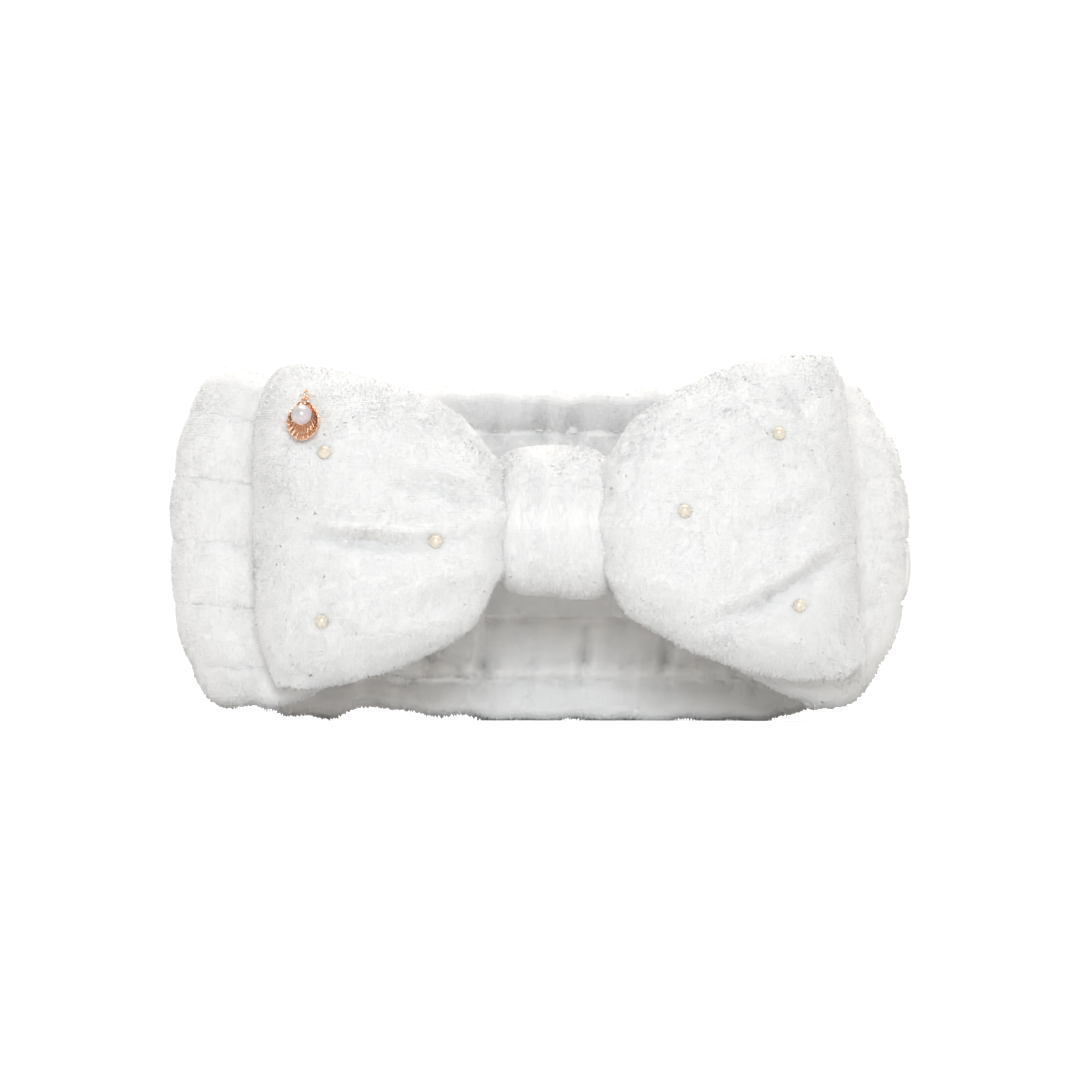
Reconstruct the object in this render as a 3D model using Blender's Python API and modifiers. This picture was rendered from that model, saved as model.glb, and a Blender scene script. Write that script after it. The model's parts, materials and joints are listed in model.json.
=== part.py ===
"""Spa headband: a soft fleece hair band with a bow, bead pearls and a shell charm.

The band stands upright as it is worn: +Z is up, +X runs to the right of someone who
looks at the bow, and the bow faces -Y.  The origin is on the ground, in the middle of
the footprint.  All sizes are in metres.
"""
import math

import bmesh
import bpy
import numpy as np
from mathutils import Matrix, Vector

# ---- Driving dimensions -----------------------------------------------------------

BAND_WIDTH = 0.215          # relaxed ring, side to side, over the outer fleece
BAND_DEPTH = 0.072          # relaxed ring, front to back, over the outer fleece
BAND_HEIGHT = 0.098         # rim to rim
RING_SQUARENESS = 2.4       # 2 is an ellipse, more is squarer
RING_CENTRE_Y = 0.01214     # the ring lies this far behind the middle of the footprint

FLEECE = 0.003              # one layer of pile fabric
INTERLINING = 0.0012        # the flat filling of the front wall
ELASTIC = 0.0010            # thickness of an elastic band
ELASTIC_TO_ROW = 0.00175    # from an elastic band's edge to the stitch row beside it
LAYER_GAP = 0.0004          # between two layers that lie on each other
THREAD = 0.0003             # radius of the sewing thread, as drawn
THREAD_GAP = 0.0003         # between a thread and the cloth it is sewn to
HEM = 0.0035                # the filling stops this far from the rims

STITCH_ROWS = 5             # gathered rows on the back, which part the elastic bands
STITCH_EDGE = 0.012         # from a rim to the nearest row

KNOT_X = 0.0041             # middle of the knot and of the bow
KNOT_Z = 0.060
KNOT_WIDTH = 0.0315
KNOT_CORE = 0.031           # height of what the knot holds together
KNOT_FLEECE = 0.004         # the wrap is folded, so it is thicker than one layer
KNOT_BULGE = 0.0015
KNOT_SQUARENESS = 10.0      # of the wrap seen from the side
KNOT_CLEARANCE = 0.0010
PINCH_START = 0.006         # the front wall stays gathered this far beside the knot
PINCH_REACH = 0.075         # and opens to its full height over this length
PINCH_POWER = 1.5           # 1 opens in a straight line, more opens sooner
LOBE_START = 0.002          # the lobes open this far beside the knot

LOBE_LENGTH = 0.074         # from the knot's side to the lobe's outer end
LOBE_CORNER = 0.008         # how far the lobe's corners are rounded back
LOBE_TOP = {-1: 0.047, 1: 0.0485}       # above the knot's middle, left and right
LOBE_BOTTOM = {-1: 0.0515, 1: 0.0485}   # below it
LOBE_PUFF = 0.0175          # swelling of the lobe between its two panels
LOBE_FOLLOW = 0.42          # share of the band's own curve that the lobes follow
PAD_CLEARANCE = 0.0006

BEAD_RADIUS = 0.0020
BEAD_BORE = 0.0005
BEAD_THREAD = 0.00015
# Side of the bow, share of the way out along the lobe, share of the way up or down.
BEAD_SPOTS = (
    (-1, 0.660, 0.405), (-1, 0.245, -0.165), (-1, 0.675, -0.570),
    (1, 0.645, 0.505), (1, 0.290, 0.060), (1, 0.720, -0.510),
)

CHARM_SPOT = (-1, 0.745, 0.585)     # where the middle of the charm lies on the bow
CHARM_STANDOFF = 0.0025     # from the cloth to the ring's and the charm's mid-plane
CHARM_DROP = 0.0064         # from the charm's pivot down to its middle
RING_RADIUS = 0.0015
RING_WIRE = 0.0003
TACK_THREAD = 0.0002
BAIL_RADIUS = 0.00095
BAIL_WIRE = 0.0003
SHELL_NECK = 0.0024         # from the pivot down to the hinge of the shell
SHELL_ROUND = 0.0048        # radius of the shell's round lower part
SHELL_REACH = 0.0056        # from the shell's hinge to the middle of that round part
SHELL_SPREAD = math.radians(50)
SHELL_WALL = 0.0007
SHELL_RIBS = 7
EARS_WIDTH = 0.0032         # the two ears beside the shell's hinge
CHARM_PEARL_RADIUS = 0.00305
CHARM_PEARL_DROP = 0.0056   # from the pivot down to the pearl's middle
PEG_RADIUS = 0.00045
PEG_BORE = 0.00075
PEG_LENGTH = 0.0014

# ---- Worked out from those -------------------------------------------------------

WALL = 2 * FLEECE + INTERLINING + 2 * LAYER_GAP
FILLING_DEPTH = FLEECE + LAYER_GAP + INTERLINING / 2     # inwards from the outer face
INNER_DEPTH = WALL - FLEECE / 2
ROW_SPACING = (BAND_HEIGHT - 2 * STITCH_EDGE) / (STITCH_ROWS - 1)
RING_FRONT = RING_CENTRE_Y - BAND_DEPTH / 2
PANEL_GAP = FLEECE + LAYER_GAP      # between the mid-surfaces of two touching panels
BOW_BACK = RING_FRONT - LAYER_GAP - FLEECE / 2
KNOT_HALF = KNOT_WIDTH / 2 + LOBE_START

MATERIALS = {
    "fleece": ((0.93, 0.93, 0.94), 0.95, 0.0),
    "foam": ((0.95, 0.93, 0.88), 0.9, 0.0),
    "elastic": ((0.90, 0.90, 0.90), 0.7, 0.0),
    "thread": ((0.94, 0.93, 0.90), 0.7, 0.0),
    "pearl": ((0.93, 0.90, 0.80), 0.2, 0.0),
    "rose_gold": ((0.87, 0.58, 0.42), 0.25, 1.0),
}


# ---- Scene and materials ---------------------------------------------------------

def clear_scene():
    for item in list(bpy.data.objects):
        bpy.data.objects.remove(item, do_unlink=True)


def new_collection(name):
    collection = bpy.data.collections.new(name)
    bpy.context.scene.collection.children.link(collection)
    return collection


def material_for(node, finish):
    colour, roughness, metallic = MATERIALS[finish]
    material = bpy.data.materials.new(node)
    material.use_nodes = True
    shader = material.node_tree.nodes["Principled BSDF"]
    shader.inputs["Base Color"].default_value = (*colour, 1.0)
    shader.inputs["Roughness"].default_value = roughness
    shader.inputs["Metallic"].default_value = metallic
    material.diffuse_color = (*colour, 1.0)
    return material


def place(node, data, finish, matrix=None, parent=None):
    """Put mesh or curve data into the part as the node of that name."""
    item = bpy.data.objects.new(node, data)
    PART.objects.link(item)
    data.materials.append(material_for(node, finish))
    if parent is not None:
        item.parent = parent
    if matrix is not None:
        item.matrix_basis = matrix
    return item


# ---- Shape tools -----------------------------------------------------------------

def grid_mesh(name, columns, rows, point, close=False):
    """A grid whose corner (u, v), both from 0 to 1, is moved to point(u, v)."""
    shape = bmesh.new()
    bmesh.ops.create_grid(shape, x_segments=columns, y_segments=rows, size=0.5)
    for corner in shape.verts:
        corner.co = Vector(point(corner.co.x + 0.5, corner.co.y + 0.5))
    if close:
        bmesh.ops.remove_doubles(shape, verts=shape.verts, dist=1e-5)
    mesh = bpy.data.meshes.new(name)
    shape.to_mesh(mesh)
    shape.free()
    mesh.shade_smooth()
    return mesh


def solidify(item, thickness, group=None):
    shell = item.modifiers.new("thickness", "SOLIDIFY")
    shell.thickness = thickness
    shell.offset = 0.0
    shell.use_even_offset = group is None
    if group is not None:
        shell.vertex_group = group
    return shell


def sheet(node, columns, rows, point, thickness, finish="fleece", close=False):
    item = place(node, grid_mesh(node, columns, rows, point, close), finish)
    solidify(item, thickness)
    return item


def thread_curve(name, points, radius, cyclic=False):
    curve = bpy.data.curves.new(name, "CURVE")
    curve.dimensions = "3D"
    curve.bevel_depth = radius
    curve.bevel_resolution = 0
    curve.use_fill_caps = True
    line = curve.splines.new("POLY")
    line.points.add(len(points) - 1)
    for spot, place_at in zip(line.points, points):
        spot.co = (*place_at, 1.0)
    line.use_cyclic_u = cyclic
    return curve


def turned_mesh(name, profile, closed):
    """The outline of a turned piece, for a Screw modifier round Z."""
    shape = bmesh.new()
    corners = [shape.verts.new((radius, 0.0, height)) for radius, height in profile]
    last = len(corners) if closed else len(corners) - 1
    for index in range(last):
        shape.edges.new((corners[index], corners[(index + 1) % len(corners)]))
    mesh = bpy.data.meshes.new(name)
    shape.to_mesh(mesh)
    shape.free()
    return mesh


def turn(item, steps):
    screw = item.modifiers.new("turned", "SCREW")
    screw.axis = "Z"
    screw.steps = steps
    screw.render_steps = steps
    screw.use_merge_vertices = True
    screw.merge_threshold = 0.00001
    screw.use_smooth_shade = True
    return screw


def axes_matrix(origin, right, back, up):
    """The frame at origin whose X, Y and Z run along right, back and up."""
    matrix = Matrix((right, back, up)).transposed().to_4x4()
    matrix.translation = origin
    return matrix


# ---- The ring of the band --------------------------------------------------------

def ring_outline(samples=1440):
    """The ring's outer face from above, against its anticlockwise share of a full turn."""
    angle = np.linspace(0.0, 2 * math.pi, samples + 1)
    power = 2 / RING_SQUARENESS
    cosine, sine = np.cos(angle), np.sin(angle)
    across = BAND_WIDTH / 2 * np.sign(cosine) * np.abs(cosine) ** power
    along = BAND_DEPTH / 2 * np.sign(sine) * np.abs(sine) ** power
    steps = np.hypot(np.diff(across), np.diff(along))
    share = np.concatenate([[0.0], np.cumsum(steps)])
    return share / share[-1], across, along, share[-1]


OUTLINE = ring_outline()


def ring_point(share, depth, height):
    """A point of the wall: share of the turn from +X by way of the back, and how far
    inside the outer face it lies."""
    shares, across, along, _length = OUTLINE
    step = 0.002
    ahead, behind = (share + step) % 1.0, (share - step) % 1.0
    x, y = np.interp(share, shares, across), np.interp(share, shares, along)
    run = np.interp(ahead, shares, across) - np.interp(behind, shares, across)
    rise = np.interp(ahead, shares, along) - np.interp(behind, shares, along)
    length = math.hypot(run, rise)
    x -= depth * rise / length
    y += depth * run / length
    return x, y + RING_CENTRE_Y, height


def seam_share(columns):
    """Half the gap where front and back meet.  A panel's first facet leans in from the
    side seam, so its thickness needs that much more room there."""
    x, y, _height = ring_point(0.5 / columns, 0.0, 0.0)
    lean = (BAND_WIDTH / 2 - x) / (y - RING_CENTRE_Y)
    return (LAYER_GAP / 2 + lean * FLEECE / 2) / OUTLINE[3]


BAND_COLUMNS = 48
SEAM_SHARE = seam_share(BAND_COLUMNS)


def front_share(u):
    return 0.5 + SEAM_SHARE + u * (0.5 - 2 * SEAM_SHARE)


def back_share(u):
    return SEAM_SHARE + u * (0.5 - 2 * SEAM_SHARE)


def front_rims(x, inset):
    """Lowest and highest point of the front wall at x, which the knot gathers."""
    reach = (abs(x - KNOT_X) - KNOT_WIDTH / 2 - PINCH_START) / PINCH_REACH
    gather = (1.0 - min(max(reach, 0.0), 1.0)) ** PINCH_POWER
    low = inset + (KNOT_Z - KNOT_CORE / 2 + inset / 3 - inset) * gather
    high = BAND_HEIGHT - inset
    high -= (high - (KNOT_Z + KNOT_CORE / 2 - inset / 3)) * gather
    return low, high


def front_wall(depth, inset=0.0):
    def point(u, v):
        x, y, _height = ring_point(front_share(u), depth, 0.0)
        low, high = front_rims(x, inset)
        return x, y, low + (high - low) * v
    return point


def back_wall(depth, low, high):
    def point(u, v):
        return ring_point(back_share(u), depth, low + (high - low) * v)
    return point


def row_height(row):
    return STITCH_EDGE + row * ROW_SPACING


def make_band():
    sheet("front_outer_panel", BAND_COLUMNS, 6, front_wall(FLEECE / 2), FLEECE)
    sheet("front_inner_panel", BAND_COLUMNS, 6, front_wall(INNER_DEPTH), FLEECE)
    sheet("front_interlining", 40, 4, front_wall(FILLING_DEPTH, HEM), INTERLINING, "foam")
    sheet("back_outer_panel", BAND_COLUMNS, 4, back_wall(FLEECE / 2, 0.0, BAND_HEIGHT), FLEECE)
    sheet("back_inner_panel", BAND_COLUMNS, 4, back_wall(INNER_DEPTH, 0.0, BAND_HEIGHT), FLEECE)
    for row in range(STITCH_ROWS - 1):
        edges = row_height(row) + ELASTIC_TO_ROW, row_height(row + 1) - ELASTIC_TO_ROW
        node = f"elastic_strip_{row + 1}"
        sheet(node, 32, 1, back_wall(FILLING_DEPTH, *edges), ELASTIC, "elastic")


def make_stitching():
    """Five gathered rows along the back, and the two side seams, on the inner face."""
    depth = WALL + THREAD + THREAD_GAP
    count = 36
    for row in range(STITCH_ROWS):
        shares = [back_share(0.02 + 0.96 * step / count) for step in range(count + 1)]
        points = [ring_point(share, depth, row_height(row)) for share in shares]
        node = f"stitch_row_{row + 1}"
        place(node, thread_curve(node, points, THREAD), "thread")
    zigzag = 2 * THREAD
    stitches = 14
    for side, share, node in ((1, 0.0, "side_seam_right"), (-1, 0.5, "side_seam_left")):
        points = []
        for stitch in range(stitches + 1):
            height = HEM + (BAND_HEIGHT - 2 * HEM) * stitch / stitches
            x, y, z = ring_point(share, depth, height)
            points.append((x, y + zigzag * (-1) ** stitch - 3 * THREAD, z))
        place(node, thread_curve(node, points, THREAD), "thread")


# ---- The bow ---------------------------------------------------------------------

def lobe_half_height(side, out, up):
    """Half height of the lobe, above or below the knot's middle, at that share out."""
    end = LOBE_TOP[side] if up >= 0 else LOBE_BOTTOM[side]
    return KNOT_CORE / 2 + (end - KNOT_CORE / 2) * (1 - (1 - out) ** 3)


def lobe_swell(out, up):
    """Distance between the mid-surfaces of the front and back panels of the bow."""
    along = (1 - (1 - out) ** 2.5) * (1 - out ** 6) ** 0.7
    across = (1 - abs(up) ** 2.5) ** 0.8
    return PANEL_GAP + LOBE_PUFF * along * across


def band_retreat(x):
    """How far the band's outer face has curved back at x from its front."""
    share = min(abs(x) / (BAND_WIDTH / 2), 1.0)
    return BAND_DEPTH / 2 * (1 - (1 - share ** RING_SQUARENESS) ** (1 / RING_SQUARENESS))


def bow_point(side, out, up, layer):
    """A point of the bow: layer 0 is the back panel's mid-surface, 1 the front's."""
    corner = LOBE_CORNER * abs(up) ** 3 * out
    x = KNOT_X + side * (KNOT_HALF + out * (LOBE_LENGTH - corner))
    y = BOW_BACK + LOBE_FOLLOW * band_retreat(x) - layer * lobe_swell(out, up)
    z = KNOT_Z + up * lobe_half_height(side, out, up)
    return Vector((x, y, z))


def bow_panel(layer, columns, knot_columns=6):
    """The panel from one outer end to the other, with corners at the knot's sides."""
    lobe = (1 - knot_columns / columns) / 2

    def point(u, v):
        across = (u - 0.5) / (0.5 - lobe)
        side = -1 if across < 0 else 1
        if abs(across) < 1:
            spot = bow_point(side, 0.0, 2 * v - 1, layer)
            spot.x = KNOT_X + KNOT_HALF * across
            return spot
        out = (abs(u - 0.5) - 0.5 + lobe) / lobe
        return bow_point(side, out, 2 * v - 1, layer)
    return point


def bow_normal(side, out, up):
    """The direction that the front of the bow faces there."""
    small = 0.01
    sideways = bow_point(side, out + small, up, 1) - bow_point(side, out - small, up, 1)
    upward = bow_point(side, out, up + small, 1) - bow_point(side, out, up - small, 1)
    return (sideways * side).cross(upward).normalized()


def surface_frame(side, out, up):
    """Place, right, inward and upward directions on the outer face of the bow."""
    outward = bow_normal(side, out, up)
    upward = (Vector((0, 0, 1)) - outward * outward.z).normalized()
    right = upward.cross(outward)
    here = bow_point(side, out, up, 1) + outward * FLEECE / 2
    return here, right, -outward, upward


def make_bow():
    columns = 34
    sheet("bow_front_panel", columns, 12, bow_panel(1, columns), FLEECE)
    sheet("bow_back_panel", columns, 10, bow_panel(0, columns), FLEECE)
    for side, node in ((-1, "bow_pad_left"), (1, "bow_pad_right")):
        make_pad(node, side)


def make_pad(node, side):
    """The soft filling of one lobe, which thins out towards its edges."""
    def spread(u, v):
        return 0.18 + 0.72 * u, 0.80 * (2 * v - 1)

    def point(u, v):
        return bow_point(side, *spread(u, v), 0.5)

    def room(u, v):
        """Thickness that fits between the panels, square to the front one."""
        out, up = spread(u, v)
        slope = -bow_normal(side, out, up).y
        return lobe_swell(out, up) * slope - FLEECE - 2 * PAD_CLEARANCE

    columns, rows = 12, 8
    mesh = grid_mesh(node, columns, rows, point)
    flat = grid_mesh("flat", columns, rows, lambda u, v: (u, v, 0.0))
    rooms = [room(corner.co.x, corner.co.y) for corner in flat.vertices]
    bpy.data.meshes.remove(flat)
    item = place(node, mesh, "foam")
    group = item.vertex_groups.new(name="thickness")
    for index, value in enumerate(rooms):
        group.add([index], value / max(rooms), "REPLACE")
    solidify(item, max(rooms), "thickness")


def make_knot():
    """The wrap that gathers bow and front wall, sewn up on the inner side."""
    front = BOW_BACK - PANEL_GAP - FLEECE / 2
    back = RING_FRONT + WALL
    half_depth = (back - front) / 2 + KNOT_CLEARANCE + KNOT_FLEECE / 2
    half_height = KNOT_CORE / 2 + KNOT_CLEARANCE + KNOT_FLEECE / 2
    middle = (back + front) / 2

    def point(u, v):
        angle = 2 * math.pi * u
        swell = KNOT_BULGE * math.sin(math.pi * v)
        power = 2 / KNOT_SQUARENESS
        cosine, sine = math.cos(angle), math.sin(angle)
        y = math.copysign(abs(cosine) ** power, cosine) * (half_depth + swell)
        z = math.copysign(abs(sine) ** power, sine) * (half_height + swell)
        return KNOT_X + (v - 0.5) * KNOT_WIDTH, middle + y, KNOT_Z + z

    sheet("knot_wrap", 40, 6, point, KNOT_FLEECE, close=True)
    inner = middle + half_depth + KNOT_BULGE + KNOT_FLEECE / 2 + THREAD + THREAD_GAP
    stitches = 6
    points = []
    for stitch in range(stitches + 1):
        side = (-1) ** stitch * 2 * THREAD
        rise = (stitch / stitches - 0.5) * KNOT_WIDTH * 0.7
        points.append((KNOT_X + rise, inner, KNOT_Z + side))
    place("knot_seam_thread", thread_curve("knot_seam_thread", points, THREAD), "thread")


# ---- Beads -----------------------------------------------------------------------

def bead_profile(radius, bore, arcs=7):
    """The outer side of a drilled bead, top to bottom; its bore closes the outline."""
    start = math.asin(bore / radius)
    points = []
    for step in range(arcs + 1):
        angle = start + (math.pi - 2 * start) * step / arcs
        points.append((radius * math.sin(angle), radius * math.cos(angle)))
    return points


def make_beads():
    for number, spot in enumerate(BEAD_SPOTS, start=1):
        place_at, _right, inward, upward = surface_frame(*spot)
        centre = place_at - inward * (BEAD_RADIUS + THREAD_GAP)
        # The bore runs sideways, along local Z.
        matrix = axes_matrix(centre, upward, inward, upward.cross(inward))
        node = f"bead_{number}"
        mesh = turned_mesh(node, bead_profile(BEAD_RADIUS, BEAD_BORE), closed=True)
        turn(place(node, mesh, "pearl", matrix), 14)
        low = BEAD_RADIUS + THREAD_GAP - BEAD_THREAD - THREAD_GAP
        side, knee = BEAD_RADIUS * 1.18, BEAD_RADIUS * 1.05
        arch = [(side, low), (side, low * 0.35), (knee, 0.0)]
        points = [(0.0, depth, -reach) for reach, depth in arch]
        points += [(0.0, depth, reach) for reach, depth in reversed(arch)]
        node = f"bead_thread_{number}"
        place(node, thread_curve(node, points, BEAD_THREAD), "thread", matrix)


# ---- The shell charm -------------------------------------------------------------

def charm_frame():
    """The charm's own frame: origin at its pivot, X right, Y into the cloth, Z up."""
    place_at, right, inward, upward = surface_frame(*CHARM_SPOT)
    pivot = place_at - inward * CHARM_STANDOFF + upward * CHARM_DROP
    return axes_matrix(pivot, right, inward, upward)


def torus_mesh(name, radius, wire, axis, centre, segments=18, sides=8):
    """A wire ring, swept as a closed grid round the given axis, X or Y."""
    def point(u, v):
        turn_angle, wire_angle = 2 * math.pi * u, 2 * math.pi * v
        reach = radius + wire * math.cos(wire_angle)
        flat = wire * math.sin(wire_angle)
        first, second = reach * math.cos(turn_angle), reach * math.sin(turn_angle)
        spot = (flat, first, second) if axis == "X" else (second, flat, first)
        return Vector(spot) + centre
    mesh = grid_mesh(name, segments, sides, point, close=True)
    shape = bmesh.new()
    shape.from_mesh(mesh)
    bmesh.ops.recalc_face_normals(shape, faces=shape.faces)
    shape.to_mesh(mesh)
    shape.free()
    return mesh


def shell_fan(u, v):
    """A scallop spreading down from its hinge, dished so that its rim stands forward."""
    angle = (2 * u - 1) * SHELL_SPREAD
    root = math.sqrt(SHELL_ROUND ** 2 - (SHELL_REACH * math.sin(angle)) ** 2)
    rim = SHELL_REACH * math.cos(angle) + root
    start = 2 * SHELL_WALL
    reach = start + (rim - start) * v
    rib = 0.00016 * math.cos(2 * math.pi * SHELL_RIBS * u) * v
    dish = SHELL_WALL * math.sin(math.pi * v * 0.8) - 0.0012 * v ** 3
    side = -0.0008 * (2 * u - 1) ** 2 * v
    x, z = reach * math.sin(angle), -SHELL_NECK - reach * math.cos(angle)
    return x, dish + side - rib, z


def cutter(name, mesh, matrix):
    item = bpy.data.objects.new(name, mesh)
    CUTTERS.objects.link(item)
    item.matrix_world = matrix
    item.hide_render = True
    item.display_type = "WIRE"
    return item


def join(item, tool):
    union = item.modifiers.new(tool.name, "BOOLEAN")
    union.operation = "UNION"
    union.solver = "EXACT"
    union.use_self = True
    union.object = tool


def cylinder_mesh(name, radius, start, end, segments=12):
    """A round rod from start to end, given in the charm's frame."""
    shape = bmesh.new()
    axis = end - start
    turn_to = Vector((0, 0, 1)).rotation_difference(axis.normalized()).to_matrix().to_4x4()
    turn_to.translation = (start + end) / 2
    bmesh.ops.create_cone(
        shape, cap_ends=True, segments=segments, radius1=radius, radius2=radius,
        depth=axis.length, matrix=turn_to,
    )
    mesh = bpy.data.meshes.new(name)
    shape.to_mesh(mesh)
    shape.free()
    return mesh


def block_mesh(name, size, centre):
    shape = bmesh.new()
    bmesh.ops.create_cube(shape, size=1.0)
    for corner in shape.verts:
        corner.co = Vector(a * b for a, b in zip(corner.co, size)) + centre
    mesh = bpy.data.meshes.new(name)
    shape.to_mesh(mesh)
    shape.free()
    return mesh


def shell_face_at(drop):
    """How far the shell's front face lies along Y, that far below the pivot."""
    share = (drop - SHELL_NECK - 2 * SHELL_WALL) / (SHELL_REACH + SHELL_ROUND - 2 * SHELL_WALL)
    return shell_fan(0.5, share)[1] - SHELL_WALL / 2


def make_charm():
    frame = charm_frame()
    thread_drop = 2 * RING_RADIUS - RING_WIRE - THREAD_GAP - TACK_THREAD
    lift_pivot = frame @ Matrix.Translation((0, 0, thread_drop))

    # The tack stitch that the jump ring hangs on, in and out of the cloth.
    inwards = CHARM_STANDOFF - THREAD_GAP
    reach = RING_RADIUS
    points = [(-reach * 1.5, inwards, 0), (-reach * 1.3, inwards * 0.4, 0), (-reach, 0, 0)]
    points += [(-x, y, z) for x, y, z in reversed(points)]
    place("tack_thread", thread_curve("tack_thread", points, TACK_THREAD), "thread", lift_pivot)

    lift = bpy.data.objects.new("jump_ring_pivot", None)
    PART.objects.link(lift)
    lift.matrix_world = lift_pivot
    ring_centre = Vector((0, 0, RING_RADIUS - thread_drop))
    ring = torus_mesh("jump_ring", RING_RADIUS, RING_WIRE, "X", ring_centre)
    place("jump_ring", ring, "rose_gold", parent=lift)

    shell = place("charm_shell", grid_mesh("charm_shell", 42, 7, shell_fan), "rose_gold", frame)
    solidify(shell, SHELL_WALL)
    bail = torus_mesh("bail", BAIL_RADIUS, BAIL_WIRE, "Y", Vector((0, 0, 0)), 16, 8)
    join(shell, cutter("bail", bail, frame))
    top, bottom = -BAIL_RADIUS, -SHELL_NECK - 2.5 * SHELL_WALL
    size = (EARS_WIDTH, 1.4 * SHELL_WALL, top - bottom)
    ears = block_mesh("ears", size, Vector((0, 0, (top + bottom) / 2)))
    join(shell, cutter("ears", ears, frame))
    face = shell_face_at(CHARM_PEARL_DROP)
    seat = Vector((0, face - LAYER_GAP, -CHARM_PEARL_DROP))
    start = Vector((0, face + SHELL_WALL / 2, -CHARM_PEARL_DROP))
    tip = seat - Vector((0, PEG_LENGTH, 0))
    join(shell, cutter("peg", cylinder_mesh("peg", PEG_RADIUS, start, tip), frame))

    # The pearl's blind hole looks at the shell, down its own local Z.
    bore_depth = PEG_LENGTH + LAYER_GAP
    radius = CHARM_PEARL_RADIUS
    mouth = math.asin(PEG_BORE / radius)
    arcs = 9
    profile = []
    for step in range(arcs + 1):
        angle = (math.pi - mouth) * step / arcs
        profile.append((radius * math.sin(angle), radius * math.cos(angle)))
    floor = profile[-1][1] + bore_depth
    profile += [(PEG_BORE, floor), (0.0, floor)]
    mesh = turned_mesh("charm_pearl", profile, closed=False)
    centre = seat - Vector((0, radius * math.cos(mouth), 0))
    local = axes_matrix(centre, Vector((1, 0, 0)), Vector((0, 0, 1)), Vector((0, -1, 0)))
    turn(place("charm_pearl", mesh, "pearl", frame @ local), 18)


clear_scene()
PART = new_collection("spa_headband")
CUTTERS = new_collection("cutters")
make_band()
make_stitching()
make_bow()
make_knot()
make_beads()
make_charm()
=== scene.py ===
"""Looks of the spa headband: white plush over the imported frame, in the frame's own place.

Every cloth piece is a closed skin shaped over its sewn layers, puffed by a cloth
simulation where it is padded, and covered with a short pile of soft tufts.
"""

import json
import math

import bpy
import numpy as np
from mathutils import Matrix, Vector, noise
from mathutils.bvhtree import BVHTree


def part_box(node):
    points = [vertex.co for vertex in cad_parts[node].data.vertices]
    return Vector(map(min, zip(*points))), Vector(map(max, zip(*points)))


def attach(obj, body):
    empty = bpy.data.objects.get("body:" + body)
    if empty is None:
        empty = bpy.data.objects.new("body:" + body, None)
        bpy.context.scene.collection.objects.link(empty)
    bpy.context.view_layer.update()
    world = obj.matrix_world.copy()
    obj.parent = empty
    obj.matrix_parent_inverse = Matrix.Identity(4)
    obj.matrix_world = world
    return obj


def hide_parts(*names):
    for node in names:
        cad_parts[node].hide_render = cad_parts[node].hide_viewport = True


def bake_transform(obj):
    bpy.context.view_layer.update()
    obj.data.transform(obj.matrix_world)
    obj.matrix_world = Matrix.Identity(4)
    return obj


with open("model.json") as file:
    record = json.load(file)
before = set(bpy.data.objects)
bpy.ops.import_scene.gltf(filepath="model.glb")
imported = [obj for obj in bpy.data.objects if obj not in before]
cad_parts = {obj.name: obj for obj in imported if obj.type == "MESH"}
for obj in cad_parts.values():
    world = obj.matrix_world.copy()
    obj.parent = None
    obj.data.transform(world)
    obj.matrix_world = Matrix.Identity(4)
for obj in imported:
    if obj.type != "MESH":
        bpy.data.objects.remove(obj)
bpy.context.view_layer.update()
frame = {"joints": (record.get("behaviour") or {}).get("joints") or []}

# ---- Sizes, read from the frame or set for the cloth ------------------------------

MM = 0.001
BACK_LOW, BACK_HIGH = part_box("back_outer_panel")
FRONT_LOW, FRONT_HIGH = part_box("front_outer_panel")
INNER_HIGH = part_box("back_inner_panel")[1]
KNOT_LOW, KNOT_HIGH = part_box("knot_wrap")

RING_HALF_WIDTH = BACK_HIGH[0]
RING_Y = (BACK_LOW[1] + FRONT_HIGH[1]) / 2
RING_HALF_DEPTH = BACK_HIGH[1] - RING_Y
RING_SQUARENESS = 2.4
BAND_HEIGHT = BACK_HIGH[2]
FLEECE = 3.0 * MM
WALL = BACK_HIGH[1] - INNER_HIGH[1] + FLEECE        # outer face to inner face
LINING_DEPTH = WALL / 2

KNOT_X = (KNOT_LOW[0] + KNOT_HIGH[0]) / 2
KNOT_Z = (KNOT_LOW[2] + KNOT_HIGH[2]) / 2
KNOT_HALF_WIDTH = 15.8 * MM

ROW_HEIGHTS = [sum(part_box(f"stitch_row_{row}")[side][2] for side in (0, 1)) / 2 for row in range(1, 6)]

FRONT, BACK = "band_front", "band_back"


# ---- Working tools ----------------------------------------------------------------

def detail(fine):
    return fine


def clear_choice():
    bpy.ops.object.select_all(action="DESELECT")


def pick(*pieces):
    clear_choice()
    for piece in pieces:
        piece.select_set(True)
    bpy.context.view_layer.objects.active = pieces[0]


def named(piece, name):
    piece.name = name
    piece.data.name = name
    return piece


def corners(mesh):
    spots = np.empty(len(mesh.vertices) * 3)
    mesh.vertices.foreach_get("co", spots)
    return spots.reshape(-1, 3)


def facings(mesh):
    normals = np.empty(len(mesh.vertices) * 3, np.float32)
    mesh.vertices.foreach_get("normal", normals)
    return normals.reshape(-1, 3).astype(float)


def face_values(mesh, key, size, kind=float):
    values = np.empty(len(mesh.polygons) * size, kind)
    mesh.polygons.foreach_get(key, values)
    return values.reshape(-1, size) if size > 1 else values


def move_corners(mesh, spots):
    mesh.vertices.foreach_set("co", np.ascontiguousarray(spots, np.float32).ravel())
    mesh.update()


def carry(piece, matrix):
    """Put a piece that was made round the origin where the matrix says."""
    spots = corners(piece.data)
    turn, shift = np.array(matrix.to_3x3()), np.array(matrix.translation)
    move_corners(piece.data, spots @ turn.T + shift)
    return piece


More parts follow.
